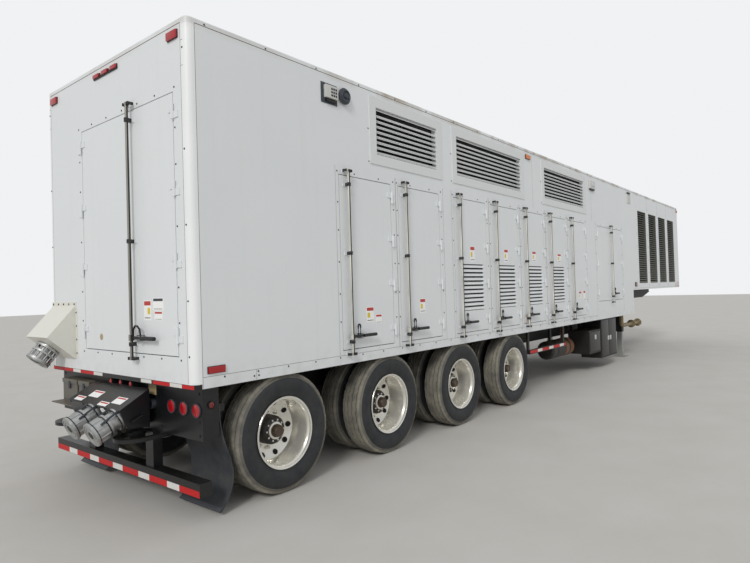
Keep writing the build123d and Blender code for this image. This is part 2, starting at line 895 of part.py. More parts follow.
def landing_leg():
    """The inner leg with its foot plate, resting on the ground."""
    half = leg_size / 2
    post = square_post(leg_x, -leg_y, half, foot_height, leg_top)
    pad = square_post(leg_x, -leg_y, leg_outer - leg_tube_wall - leg_pad_gap, leg_top - leg_pad_height, leg_top)
    plate = square_post(leg_x, -leg_y, foot_size / 2, 0, foot_thickness)
    reach = half + ear_thickness
    ears = block(leg_x - half, leg_x + half, -leg_y - reach, -leg_y + reach, foot_thickness, ear_height)
    return joined([post, pad, plate, ears])


# Rear end

def side_return():
    """The plate at the side of the light panel, with one rounded corner."""
    plate = block(panel_front, panel_front + return_length, -panel_half_width,
                  -panel_half_width + return_thickness, panel_bottom, skirt_bottom)
    corner = plate.edges().filter_by(Axis.Y).sort_by(Axis.X)[-2:].sort_by(Axis.Z)[0]
    return fillet(corner, return_corner)


def rear_frame():
    """Light panel with its rail and side returns, the underride bumper and its uprights."""
    panel = block(panel_rear, panel_front, -panel_half_width, panel_half_width, panel_bottom, rear_wall_bottom)
    rail_end = half_width - rail_rear
    rail = block(rail_rear, corner_size, -rail_end, rail_end, rail_bottom, rear_wall_bottom)
    web = block(corner_size, panel_rear, -panel_half_width, panel_half_width, rail_bottom, rear_wall_bottom)
    bumper_end = half_width - bumper_inset
    bumper = block(bumper_rear, bumper_rear + bumper_size, -bumper_end, bumper_end,
                   bumper_bottom, bumper_bottom + bumper_size)
    upright = block(upright_rear, upright_rear + upright_depth, -upright_y - upright_width / 2,
                    -upright_y + upright_width / 2, bumper_bottom + bumper_size, panel_bottom)
    return joined([panel, rail, web, bumper] + both_sides([side_return(), upright, tow_loop()]))


def half_slot(radius, length):
    """A half circle about the origin with straight sides that run forward."""
    return Circle(radius) + Pos(length / 2, 0) * Rectangle(length, 2 * radius)


def tow_loop():
    """A flat bar bent to a loop, welded under the light panel."""
    middle = tow_loop_outer - tow_loop_reach
    ring = half_slot(tow_loop_outer, panel_front - middle) - half_slot(tow_loop_inner, panel_rear - middle)
    return Pos(middle, -tow_loop_y, panel_bottom - tow_loop_height) * extrude(ring, tow_loop_height)


def mud_flap():
    """A hanging rubber sheet that bends under the axle's air stream and out at the foot."""
    outer = half_width - flap_inset
    top = (flap_top_x, -outer, flap_top)
    knee = (flap_top_x, -outer, flap_top - flap_straight)
    curve = Spline([knee] + [(x, -outer, z) for x, z in flap_path], tangents=[(0, 0, -1), (-1, 0, -0.7)])
    rear = [Line(top, knee), curve]
    front = [Pos(flap_thickness, 0, 0) * edge for edge in rear]
    ends = [Line(top, front[0] @ 0), Line(curve @ 1, front[1] @ 1)]
    return extrude(make_face(rear + front + ends), amount=flap_width, dir=(0, 1, 0))


def flap_bar():
    front = flap_top_x + flap_thickness
    return block(front, front + flap_bar_depth, -half_width + flap_inset, -beam_outer,
                 flap_top - flap_bar_height, flap_top)


def coupler_housing():
    """The sloping box that carries the couplers, on a narrower back box."""
    shell = prism_across(housing_profile, housing_right, housing_left)
    front = housing_profile[0][0]
    back = block(front, panel_rear, housing_right + housing_back_inset, housing_left,
                 housing_profile[-1][1], housing_back_top)
    return joined([shell, back])


def stowage():
    """Two boxes on a tray at the left of the light panel."""
    boxes = [block(stowage_box_rear, panel_rear, y0, y1, stowage_box_bottom, stowage_box_top)
             for y0, y1 in stowage_boxes]
    tray = block(stowage_tray_rear, panel_rear, *stowage_tray_y, stowage_box_bottom - stowage_tray_thickness,
                 stowage_box_bottom)
    return joined([tray] + boxes)


def coupler(radius, length):
    """A cable coupler turned about z, its flange at z = 0 and its cap pointing up z."""
    steps = [(0.92, 0, 0.08), (0.72, 0.08, 0.38), (0.92, 0.38, 0.46), (0.86, 0.46, 0.92), (1.0, 0.92, 1.0)]
    outline = [(0, 0)]
    for share, start, end in steps:
        outline += [(radius * share, length * start), (radius * share, length * end)]
    outline.append((0, length))
    face = make_face(Polyline([(r, 0, z) for r, z in outline], close=True))
    return revolve(face, Axis.Z, 360)


def pointed(piece, x, y, z, direction):
    """The piece moved so that its z axis runs along a direction in the x, z plane."""
    plane = Plane(origin=(x, y, z), x_dir=(0, 1, 0), z_dir=(direction[0], 0, direction[1]))
    return plane.location * piece


def cable_couplers():
    x, z = coupler_face
    main = [pointed(coupler(coupler_radius, coupler_length), x, y, z, coupler_direction) for y in coupler_ys]
    rise = hood_apex - hood_bottom
    slope = hypot(rise, hood_reach)
    direction = (-rise / slope, -hood_reach / slope)
    small = pointed(coupler(hood_coupler_radius, hood_coupler_length), -hood_reach / 2, hood_coupler_y,
                    (hood_apex + hood_bottom) / 2, direction)
    return main + [small]


def cable_hood():
    left = half_width - hood_inset
    right = left - hood_width
    outline = [(0, hood_top), (-hood_reach, hood_apex), (0, hood_bottom)]
    body = prism_across(outline, right, left)
    flange = block(-hood_flange_thickness, 0, right - hood_flange, left + hood_flange,
                   hood_flange_bottom, hood_flange_top)
    return joined([body, flange])


# Gear hung under the enclosure

def side_cabinets():
    outer = -half_width + cabinet_inset
    inner = outer + cabinet_depth
    large = block(*cabinet_x, outer, inner, cabinet_bottom, deck_bottom)
    small = block(*small_cabinet_x, outer, inner, small_cabinet_bottom, small_cabinet_top)
    places = [small_cabinet_x[0] + cabinet_strap_inset,
              small_cabinet_x[1] - cabinet_strap_inset - cabinet_strap_width]
    strap_y = inner - cabinet_strap_depth
    straps = [block(x, x + cabinet_strap_width, strap_y, inner, small_cabinet_top, deck_bottom)
              for x in places]
    return [large, joined([small] + straps)]


def side_rail():
    """A bar between the wheels and the cabinets, hung from the deck on two posts."""
    x0, x1 = side_rail_x
    y0 = -half_width + side_rail_inset
    y1 = y0 + side_rail_thickness
    bar = block(x0, x1, y0, y1, side_rail_bottom, side_rail_bottom + side_rail_height)
    posts = [block(x, x + side_rail_post, y1, y1 + side_rail_thickness, side_rail_bottom, deck_bottom)
             for x in (x0, x1 - side_rail_post)]
    return joined([bar] + posts)


def air_tank():
    middle = (tank_x[0] + tank_x[1]) / 2
    tank = Pos(middle, -tank_y, tank_z) * Rot(0, 90, 0) * Cylinder(tank_radius, tank_x[1] - tank_x[0])
    rounded = fillet(tank.edges().filter_by(GeomType.CIRCLE), tank_rounding)
    places = [tank_x[0] + tank_hanger_inset, tank_x[1] - tank_hanger_inset - tank_hanger_length]
    half = tank_hanger_width / 2
    low = tank_z + tank_radius - tank_hanger_sink
    hangers = [block(x, x + tank_hanger_length, -tank_y - half, -tank_y + half, low, deck_bottom)
               for x in places]
    return joined([rounded] + hangers)


def gas_inlet():
    """A flanged gas pipe that comes down from the deck and runs forward."""
    y = -half_width + inlet_inset
    last = inlet_end - inlet_flange_thickness / 2
    path = FilletPolyline((inlet_rise_x, y, deck_bottom), (inlet_rise_x, y, inlet_z),
                          (inlet_end - inlet_flange_thickness, y, inlet_z), radius=inlet_bend)
    pipe = sweep(Plane(origin=(inlet_rise_x, y, deck_bottom), z_dir=(0, 0, -1)) * Circle(inlet_radius), path)
    second = inlet_joint_x + inlet_flange_thickness + inlet_joint_gap
    flanges = [Pos(x, y, inlet_z) * Rot(0, 90, 0) * Cylinder(inlet_flange_radius, inlet_flange_thickness)
               for x in (inlet_joint_x, second, last)]
    turn = 360 / bolt_hole_count
    holes = [Pos(last, y, inlet_z) * Rot(turn / 2 + turn * i, 0, 0) * Pos(0, 0, bolt_circle / 2)
             * Rot(0, 90, 0) * Cylinder(bolt_hole_radius, 3 * inlet_flange_thickness)
             for i in range(bolt_hole_count)]
    return joined([pipe] + flanges) - holes


def side_lamp(size):
    """A lamp on the right wall from its two ends, its two heights and its depth."""
    x0, x1, z0, z1, proud = size
    return side_block(x0, x1, 0, proud, z0, z1)


def panel_lamp(y, z, radius):
    """A round lamp on the light panel."""
    return Pos(panel_rear, y, z) * Rot(0, -90, 0) * extrude(Circle(radius), tail_lamp_proud)


def lamps():
    """Marker and tail lamps, proud of what they sit on."""
    marker_end = body_length - front_marker_from_front + front_marker_length
    top_lamp_top = top_lamp_bottom + top_lamp_height
    front_marker = side_lamp((marker_end - front_marker_length, marker_end, top_lamp_bottom, top_lamp_top,
                              top_lamp_proud))
    pieces = both_sides([side_lamp(amber_marker), side_lamp(neck_marker), side_lamp(rear_reflector),
                         front_marker])
    corner_y = half_width - corner_lamp_inset
    rows = [(y, corner_lamp_length) for y in (corner_y, -corner_y)]
    rows += [(centre_lamp_pitch * i, centre_lamp_length) for i in (-1, 0, 1)]
    pieces += [rear_block(y - length / 2, y + length / 2, 0, top_lamp_proud, top_lamp_bottom, top_lamp_top)
               for y, length in rows]
    pieces += [panel_lamp(-tail_lamp_first_y - tail_lamp_pitch * i, tail_lamp_z, tail_lamp_radius)
               for i in range(tail_lamp_count)]
    pieces += [panel_lamp(sill_lamp_pitch * i, sill_lamp_z, sill_lamp_radius) for i in (-1, 0, 1)]
    side = Pos(return_lamp_x, -panel_half_width, return_lamp_z) * Rot(90, 0, 0)
    return pieces + both_sides([side * extrude(Circle(return_lamp_radius), tail_lamp_proud)])


def wall_lights():
    """Floodlights and a horn high on the right wall, mirrored on the left."""
    horn = Pos(horn_x, -half_width - horn_proud / 2, horn_z) * Rot(90, 0, 0) * Cylinder(horn_radius, horn_proud)
    return both_sides([side_lamp(floodlight), side_lamp(wall_light), horn])


# The left wall repeats the right one, with its doors shut

def left_wall():
    right = [right_sill(), right_posts(), right_header(), right_radiator_frame()]
    return joined([mirrored(piece) for piece in right])


def left_doors():
    leaves = [single_leaf(i) for i in range(len(door_edges))] + list(double_leaves())
    rods = [single_rod(i) for i in range(len(door_edges))] + [double_rod()]
    return [mirrored(piece) for piece in leaves + rods]


def write_enclosure():
    save("right_wall_sill", [right_sill()])
    save("right_wall_posts", [right_posts()])
    save("right_wall_header", [right_header()])
    save("right_radiator_frame", [right_radiator_frame()])
    louvres = [wall_louvre(x, width) for x, width in wall_louvres]
    bay = radiator_grille()
    grilles = [Pos(x, 0, 0) * bay for x in radiator_places]
    save("right_louvres", louvres + grilles)
    save("left_louvres", [mirrored(piece) for piece in louvres + grilles])
    save("left_wall", [left_wall()])
    save("left_doors", left_doors())
    save("rear_wall", [rear_wall()])
    save("front_wall", [block(body_length - wall_thickness, body_length, -half_width + corner_size,
                              half_width - corner_size, neck_bottom, roof_bottom)])
    save("corner_posts", both_sides([corner_post(0, corner_size, rear_wall_bottom),
                                     corner_post(body_length, body_length - corner_size, neck_bottom)]))
    save("roof", [roof()])
    save("floor", [floor()])
    save("wall_fittings", both_sides(side_fittings()) + rear_fittings())


def write_doors():
    for i in range(len(door_edges)):
        save(f"door_{i + 1}", [single_leaf(i)])
        save(f"lock_rod_{i + 1}", [single_rod(i)])
    rear, front = double_leaves()
    save("double_door_rear_leaf", [rear])
    save("double_door_front_leaf", [front])
    save("double_door_lock_rod", [double_rod()])
    left, right = rear_leaves()
    save("rear_door_right_leaf", [right])
    save("rear_door_left_leaf", [left])
    save("rear_door_lock_rod", [rear_rod()])


def write_running_gear():
    pair = wheel_pair()
    tyres = [tyre(tyre_offset), tyre(-tyre_offset)]
    for i, x in enumerate(axle_places):
        save(f"right_wheel_{i + 1}", [at_axle(pair, x)])
        save(f"right_tyres_{i + 1}", [at_axle(piece, x) for piece in tyres])
    save("left_wheels", [mirrored(at_axle(pair, x)) for x in axle_places])
    save("left_tyres", [mirrored(at_axle(piece, x)) for x in axle_places for piece in tyres])
    save("axles", [axle(x) for x in axle_places])
    save("suspension", both_sides([suspension_side(x) for x in axle_places]))


def write_chassis():
    save("main_beams", both_sides([main_beam()]))
    save("crossmembers", crossmembers() + neck_crossmembers() + both_sides(outriggers() + [flap_bar()]))
    save("kingpin_plate", [kingpin()])
    save("landing_gear", both_sides([leg_housing()]) + [leg_shaft()])
    save("landing_legs", both_sides([landing_leg()]))
    save("rear_frame", [rear_frame()])
    save("mud_flaps", both_sides([mud_flap()]))
    save("coupler_housing", [coupler_housing(), stowage()])
    save("cable_couplers", cable_couplers())
    save("cable_hood", [cable_hood()])
    save("side_cabinets", side_cabinets() + both_sides([side_rail()]))
    save("air_tank", [air_tank()])
    save("gas_inlet", [gas_inlet()])
    save("lamps", lamps() + wall_lights())


write_enclosure()
write_doors()
write_running_gear()
write_chassis()
print("rear reach", round(rear_reach, 2), "origin x", round(origin_x, 3))
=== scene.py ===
import bpy
import bmesh
import random
from math import cos, pi, radians, sin
from mathutils import Matrix, Vector


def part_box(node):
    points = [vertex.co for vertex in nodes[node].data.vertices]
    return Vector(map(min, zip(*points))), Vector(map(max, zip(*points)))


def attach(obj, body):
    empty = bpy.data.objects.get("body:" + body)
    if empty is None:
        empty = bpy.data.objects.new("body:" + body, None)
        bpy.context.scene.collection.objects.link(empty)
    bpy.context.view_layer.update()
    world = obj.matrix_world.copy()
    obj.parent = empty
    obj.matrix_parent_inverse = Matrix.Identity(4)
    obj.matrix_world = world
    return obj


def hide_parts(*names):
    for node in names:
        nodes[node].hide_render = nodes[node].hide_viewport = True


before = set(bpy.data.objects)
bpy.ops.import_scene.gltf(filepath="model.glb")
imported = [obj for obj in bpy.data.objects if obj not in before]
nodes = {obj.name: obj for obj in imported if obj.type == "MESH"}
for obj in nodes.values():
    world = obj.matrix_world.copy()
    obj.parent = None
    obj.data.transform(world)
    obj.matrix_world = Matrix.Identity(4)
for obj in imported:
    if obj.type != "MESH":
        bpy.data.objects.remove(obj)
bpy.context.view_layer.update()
random.seed(7)

# Places are in metres: x forward from the rear face, y to the left, z up from the ground.

rear_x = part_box("rear_wall")[0].x
half_width = -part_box("right_wall_sill")[0].y
body_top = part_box("roof")[1].z
body_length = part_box("front_wall")[1].x - rear_x
wall_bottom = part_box("right_wall_sill")[0].z
single_doors = [f"door_{i}" for i in range(1, 8)]
louvred_doors = single_doors[2:6]
axle_middles = [(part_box(f"right_tyres_{i}")[0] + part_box(f"right_tyres_{i}")[1]) / 2 for i in range(1, 5)]
tyre_radius = axle_middles[0].z
rod_half = 0.023
both_sides = ((-1, "right"), (1, "left"))


def at(x, y, z):
    """A point in the frame from a place on the trailer."""
    return Vector((x + rear_x, y, z))


def start_x(name):
    """How far forward of the rear face a node starts."""
    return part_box(name)[0].x - rear_x


def rod_x(name):
    """How far forward of the rear face a lock rod stands."""
    return start_x(name) + rod_half


def srgb(red, green, blue):
    """A colour as the eye reads it, in 0 to 255, turned into linear light."""
    def channel(value):
        share = value / 255
        return share / 12.92 if share <= 0.04045 else ((share + 0.055) / 1.055) ** 2.4
    return (channel(red), channel(green), channel(blue), 1)


def darker(tone, share):
    """A colour at a share of its light."""
    return tuple(value * share for value in tone[:3]) + (1,)


def circle(count, shift=0.0):
    """(cosine, sine) at even steps round a circle."""
    angles = [2 * pi * (i + shift) / count for i in range(count)]
    return [(cos(angle), sin(angle)) for angle in angles]


# Shader building

def link(tree, source, target):
    """Links an output to an input, or sets the input where the source is a plain value."""
    if hasattr(source, "links"):
        tree.links.new(source, target)
    else:
        target.default_value = source


def add_node(tree, kind, *numbered, **named):
    """A new node of a kind, its inputs fed by number or by name, with _ for a space."""
    node = tree.nodes.new(f"ShaderNode{kind}")
    for number, source in enumerate(numbered):
        link(tree, source, node.inputs[number])
    for name, source in named.items():
        link(tree, source, node.inputs[name.replace("_", " ")])
    return node


def add_math(tree, operation, a, b=0.0):
    node = add_node(tree, "Math", a, b)
    node.operation = operation
    return node.outputs[0]


class Shader:
    """One node material, built by adding nodes to it."""

    def __init__(self, name, roughness=0.5, metallic=0.0):
        self.material = bpy.data.materials.new(name)
        self.material.use_nodes = True
        self.tree = self.material.node_tree
        self.surface = self.tree.nodes["Principled BSDF"]
        self.feed(Roughness=roughness, Metallic=metallic)
        self.place = self.node("TexCoord").outputs["Object"]

    def node(self, kind, *numbered, **named):
        return add_node(self.tree, kind, *numbered, **named)

    def feed(self, **sources):
        """Links or sets inputs of the surface by name."""
        for name, source in sources.items():
            link(self.tree, source, self.surface.inputs[name.replace("_", " ")])

    def noise(self, scale, detail, stretch=(1, 1, 1), rough=0.55):
        place = self.node("Mapping", Vector=self.place, Scale=stretch).outputs["Vector"]
        noise = self.node("TexNoise", Vector=place, Scale=scale, Detail=detail, Roughness=rough)
        return noise.outputs["Fac"]

    def ramp(self, value, low, high, low_to=0.0, high_to=1.0):
        ends = {"From_Min": low, "From_Max": high, "To_Min": low_to, "To_Max": high_to}
        return self.node("MapRange", Value=value, **ends).outputs["Result"]

    def patches(self, scale, detail, low, high, low_to=0.0, high_to=1.0, stretch=(1, 1, 1), rough=0.55):
        """Noise whose range from low to high is spread from low_to to high_to."""
        return self.ramp(self.noise(scale, detail, stretch, rough), low, high, low_to, high_to)

    def math(self, operation, a, b=0.0):
        return add_math(self.tree, operation, a, b)

    def times(self, a, b):
        return self.math("MULTIPLY", a, b)

    def mix(self, factor, a, b):
        node = self.node("Mix")
        node.data_type = "RGBA"
        for number, source in ((0, factor), (6, a), (7, b)):
            link(self.tree, source, node.inputs[number])
        return node.outputs[2]

    def axis(self, name):
        return self.node("SeparateXYZ", self.place).outputs[name]

    def facing(self, axis, low, high):
        """0 to 1 as the surface turns towards an axis."""
        normal = self.node("NewGeometry").outputs["Normal"]
        return self.ramp(self.node("SeparateXYZ", normal).outputs[axis], low, high)

    def between(self, value, low, high):
        """1 where a value lies between two numbers."""
        return self.times(self.math("GREATER_THAN", value, low), self.math("LESS_THAN", value, high))

    def spot(self, x, z, wide, high):
        """1 at a place on a side wall, falling to 0 at the edge of an oval round it."""
        across = self.math("DIVIDE", self.math("SUBTRACT", self.axis("X"), x + rear_x), wide)
        upward = self.math("DIVIDE", self.math("SUBTRACT", self.axis("Z"), z), high)
        away = self.math("ADD", self.times(across, across), self.times(upward, upward))
        return self.ramp(away, 0.0, 1.0, 1.0, 0.0)

    def bump(self, height, distance, strength=1.0):
        node = self.node("Bump", Height=height, Distance=distance, Strength=strength)
        for earlier in self.surface.inputs["Normal"].links:
            link(self.tree, earlier.from_socket, node.inputs["Normal"])
        self.feed(Normal=node.outputs["Normal"])


# Paints and metals

white_tone = srgb(233, 236, 238)
cool_white = srgb(221, 225, 227)
grime = srgb(150, 138, 120)
rust_tone = srgb(150, 98, 48)
roof_dirt = srgb(158, 140, 112)
core_grey = srgb(120, 120, 112)
fitting_black = srgb(30, 31, 33)
fitting_worn = srgb(96, 94, 90)
dust_tone = srgb(132, 117, 98)
splash_height = 0.22
roof_dirt_depth = 0.1
skin_clearance = 0.0095


def soiled_white(shader, tone, dirt):
    """White paint with faint streaks, road dirt low down and brown dirt under the roof's edge."""
    base = shader.mix(shader.patches(0.7, 3, 0.3, 0.7, 0, 0.35), tone, cool_white)
    streaks = shader.patches(1.0, 6, 0.55, 0.85, stretch=(14, 14, 0.5))
    base = shader.mix(shader.times(streaks, 0.045 * dirt), base, grime)
    height = shader.axis("Z")
    low_dirt = shader.ramp(height, wall_bottom, wall_bottom + splash_height, 0.2 * dirt, 0.0)
    base = shader.mix(shader.times(low_dirt, shader.patches(9, 6, 0.42, 0.75)), base, grime)
    under_edge = shader.ramp(height, body_top - roof_dirt_depth, body_top - 0.02, 0.0, 0.75)
    along_roof = shader.ramp(shader.axis("X"), rear_x + 1.2, rear_x + 2.4, 0.25, 1.0)
    off_top = shader.ramp(shader.facing("Z", 0.5, 0.9), 0.0, 1.0, 1.0, 0.22)
    under_edge = shader.times(shader.times(under_edge, along_roof), off_top)
    patchy = shader.patches(2.2, 7, 0.42, 0.62, stretch=(1, 1, 0.4))
    return shader.mix(shader.times(under_edge, patchy), base, roof_dirt)


def hardware(shader, base, zones):
    """Worn black paint on what stands proud of the skin inside the zones."""
    across = shader.math("ABSOLUTE", shader.axis("Y"))
    proud = shader.math("GREATER_THAN", across, half_width + skin_clearance)
    behind = shader.math("LESS_THAN", shader.axis("X"), rear_x - skin_clearance)
    zone = 0.0
    for axis, low, high in zones:
        zone = shader.math("MAXIMUM", shader.between(shader.axis(axis), low, high), zone)
    worn = shader.mix(shader.patches(60, 5, 0.5, 0.75), fitting_black, fitting_worn)
    return shader.mix(shader.times(shader.math("MAXIMUM", proud, behind), zone), base, worn)


def white_paint(name, dark_zones=(), tone=white_tone, dirt=1.0, stains=(), core_from=None):
    """Soiled white sheet metal, faintly oil-canned.

    Each dark zone is (axis, low, high): what stands proud of the skin there is black hardware.
    Each stain is (x, z, wide, high), and core_from is the x past which the blades are olive grey.
    """
    shader = Shader(name, roughness=0.4)
    base = soiled_white(shader, tone, dirt)
    for x, z, wide, high in stains:
        cover = shader.times(shader.spot(x, z, wide, high), shader.patches(14, 7, 0.35, 0.65))
        base = shader.mix(cover, base, rust_tone)
    if core_from:
        base = shader.mix(shader.math("GREATER_THAN", shader.axis("X"), core_from), base, core_grey)
    if dark_zones:
        base = hardware(shader, base, dark_zones)
    shader.feed(Base_Color=base, Roughness=shader.patches(5, 5, 0.3, 0.8, 0.3, 0.5))
    shader.bump(shader.noise(1.6, 2, stretch=(1, 1, 0.6)), 0.004, 0.3)
    shader.bump(shader.noise(260, 2), 0.0002, 0.3)
    return shader.material


def dusty_paint(name, tone, dust=0.5, dust_colour=dust_tone, metallic=0.0, rough=0.5, grain=40, second=None):
    """Dark paint or bare metal under road dust, which gathers on ledges and low down.

    second is (axis, place, tone, dust): past that place the paint has another tone and more dust.
    """
    shader = Shader(name, roughness=rough, metallic=metallic)
    ledges = shader.times(shader.facing("Z", 0.2, 0.9), 0.8)
    low_down = shader.ramp(shader.axis("Z"), 0.1, 1.3, 0.5, 0.12)
    cover = shader.math("MAXIMUM", ledges, low_down)
    cover = shader.times(cover, shader.patches(grain, 6, 0.25, 0.75, 0.45, 1.0))
    patchy = shader.times(shader.patches(3.2, 8, 0.35, 0.72), 0.7)
    cover = shader.times(cover, shader.math("ADD", patchy, 0.3))
    if second:
        axis, place, other, more = second
        past = shader.math("GREATER_THAN", shader.axis(axis), place)
        tone = shader.mix(past, tone, other)
        cover = shader.times(cover, shader.ramp(past, 0, 1, 1, more / dust))
    cover = shader.math("MINIMUM", shader.times(cover, dust * 2), 0.95)
    shader.feed(Base_Color=shader.mix(cover, tone, dust_colour),
                Roughness=shader.ramp(cover, 0, 1, rough, 0.92))
    if metallic:
        shader.feed(Metallic=shader.ramp(cover, 0, 0.8, metallic, 0.0))
    shader.bump(shader.noise(grain * 3, 5), 0.0008, 0.5)
    return shader.material


def rubber(name, tone, dust=0.35, dust_colour=srgb(134, 130, 118)):
    """Tyre and flap rubber, dusty where it meets the road."""
    shader = Shader(name, roughness=0.75)
    clouds = shader.patches(7, 8, 0.35, 0.75, rough=0.65)
    cover = shader.times(clouds, shader.patches(90, 4, 0.3, 0.8, 0.5, 1.0))
    cover = shader.times(cover, dust * 1.6)
    shader.feed(Base_Color=shader.mix(cover, tone, dust_colour),
                Roughness=shader.ramp(cover, 0, 1, 0.62, 0.95))
    shader.bump(shader.noise(180, 4), 0.0006, 0.4)
    return shader.material


def bare_metal(name, tone, rough):
    """Galvanised or cast metal with a fine grain and a little dust."""
    shader = Shader(name, roughness=rough, metallic=0.85)
    spangle = shader.noise(30, 4)
    base = shader.mix(shader.ramp(spangle, 0.3, 0.7), tone, darker(tone, 0.72))
    dirt = shader.times(shader.patches(6, 7, 0.45, 0.8), 0.15)
    shader.feed(Base_Color=shader.mix(dirt, base, dust_tone), Metallic=shader.ramp(dirt, 0, 1, 0.85, 0.1))
    shader.feed(Roughness=shader.ramp(spangle, 0.3, 0.7, rough, rough + 0.18))
    shader.bump(shader.noise(150, 3), 0.0004, 0.4)
    return shader.material


def lens(name, tone):
    """A moulded lamp lens with fine ribs under a glossy face."""
    shader = Shader(name, roughness=0.18)
    ribs = shader.node("TexWave", Vector=shader.place, Scale=70).outputs["Fac"]
    shader.feed(Base_Color=shader.mix(shader.ramp(ribs, 0, 1, 0, 0.4), tone, darker(tone, 0.45)))
    shader.bump(ribs, 0.0006, 0.5)
    shader.feed(Coat_Weight=0.45, Coat_Roughness=0.06)
    return shader.material


def plain(name, tone, rough=0.5, speck=0.12):
    """Moulded or printed surface with slight mottling."""
    shader = Shader(name, roughness=rough)
    shader.feed(Base_Color=shader.mix(shader.patches(45, 5, 0.35, 0.75, 0, speck), tone, darker(tone, 0.6)))
    shader.feed(Roughness=shader.patches(80, 3, 0.3, 0.7, rough * 0.85, min(1, rough * 1.2)))
    shader.bump(shader.noise(300, 2), 0.0002, 0.3)
    return shader.material


def rod_finish(name, axis, place, step, tone, shade_from, shade_to):
    """Galvanised rod, with painted shade on the side that faces along an axis, and a black handle past a
    place.
    """
    shader = Shader(name, roughness=0.4, metallic=0.8)
    ahead = shader.times(shader.math("SUBTRACT", shader.axis(axis), place), step)
    black = shader.ramp(ahead, 0.0142, 0.0148)
    grain = shader.patches(30, 4, 0.3, 0.7, stretch=(1, 1, 0.1))
    steel = shader.mix(grain, tone, darker(tone, 0.6))
    # Painted shade: the shaded side of the rod turns near black.
    steel = shader.mix(shader.facing(axis, shade_from, shade_to), steel, rod_painted_shade)
    shader.feed(Base_Color=shader.mix(black, steel, handle_black),
                Metallic=shader.ramp(black, 0, 1, 0.3, 0.0))
    shader.bump(shader.noise(150, 3), 0.0004, 0.4)
    return shader.material


# Mesh building

def add_box(bm, low, high, index=0, bevel=0.0):
    """A box between two corners, with its edges eased when bevel is more than zero."""
    low = Vector(low)
    high = Vector(high)
    before = set(bm.faces)
    made = bmesh.ops.create_cube(bm, size=1)
    size = high - low
    matrix = Matrix.Translation((low + high) / 2) @ Matrix.Diagonal((size.x, size.y, size.z, 1))
    bmesh.ops.transform(bm, matrix=matrix, verts=made["verts"])
    if bevel:
        edges = list({edge for vert in made["verts"] for edge in vert.link_edges})
        bmesh.ops.bevel(bm, geom=edges, offset=bevel, segments=2, affect="EDGES", profile=0.7)
    for face in set(bm.faces) - before:
        face.material_index = index


def join_rings(bm, rings, index=0):
    """Faces between neighbouring rings; a ring that repeats one point gives triangles."""
    for first, second in zip(rings, rings[1:]):
        for i in range(len(first)):
            j = (i + 1) % len(first)
            corners = tuple(dict.fromkeys((first[i], first[j], second[j], second[i])))
            bm.faces.new(corners).material_index = index


def add_ring(bm, centre, turn, radius, sides):
    """Points round a centre, square to the direction that the turn gives."""
    if radius < 1e-6:
        return [bm.verts.new(centre)] * sides
    return [bm.verts.new(centre + turn @ Vector((radius * across, radius * up, 0)))
            for across, up in circle(sides)]


def turn_to(direction):
    """The turn that takes z to a direction."""
    return direction.to_track_quat("Z", "Y").to_matrix()


def add_turned(bm, outline, start, direction, sides=32, index=0):
    """A solid turned about a line: outline holds (distance along, radius) pairs."""
    start, direction = Vector(start), Vector(direction).normalized()
    turn = turn_to(direction)
    rings = [add_ring(bm, start + direction * along, turn, radius, sides) for along, radius in outline]
    join_rings(bm, rings, index)


def add_tube(bm, points, radius, sides=10, index=0):
    """A round bar that follows a list of points."""
    spots = [Vector(point) for point in points]
    rings = []
    for i, spot in enumerate(spots):
        ahead = spots[min(i + 1, len(spots) - 1)] - spots[max(i - 1, 0)]
        rings.append(add_ring(bm, spot, turn_to(ahead.normalized()), radius, sides))
    join_rings(bm, rings, index)
    for ring in (rings[0], rings[-1]):
        bm.faces.new(ring).material_index = index


def close_mesh(bm, name):
    """Turns a mesh under construction into a finished one."""
    mesh = bpy.data.meshes.new(name)
    bm.to_mesh(mesh)
    bm.free()
    return mesh


def show(name, data):
    """A new object in the scene."""
    thing = bpy.data.objects.new(name, data)
    bpy.context.scene.collection.objects.link(thing)
    return thing


sharp_angle = radians(35)


def piece(name, bm, materials, replaces=(), body="trailer"):
    """Turns a mesh under construction into a piece that rides on a body."""
    bmesh.ops.recalc_face_normals(bm, faces=bm.faces)
    mesh = close_mesh(bm, name)
    for material in materials:
        mesh.materials.append(material)
    for polygon in mesh.polygons:
        polygon.use_smooth = True
    mesh.set_sharp_from_angle(angle=sharp_angle)
    thing = show(name, mesh)
    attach(thing, body)
    if replaces:
        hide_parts(*replaces)


def side_plate(bm, x0, x1, z0, z1, thickness, index=0, bevel=0.0, base=0.0, side=-1):
    """A plate on a side wall, between x0 and x1 and z0 and z1, on one side (-1 is the right)."""
    inner = side * (half_width + base)
    outer = side * (half_width + base + thickness)
    add_box(bm, at(x0, min(inner, outer), z0), at(x1, max(inner, outer), z1), index, bevel)


def rear_plate(bm, y0, y1, z0, z1, thickness, index=0, bevel=0.0, base=0.0):
    """A plate on the rear wall."""
    add_box(bm, at(-base - thickness, min(y0, y1), z0), at(-base, max(y0, y1), z1), index, bevel)


# Where black hardware stands: (axis, low, high) beside each lock rod

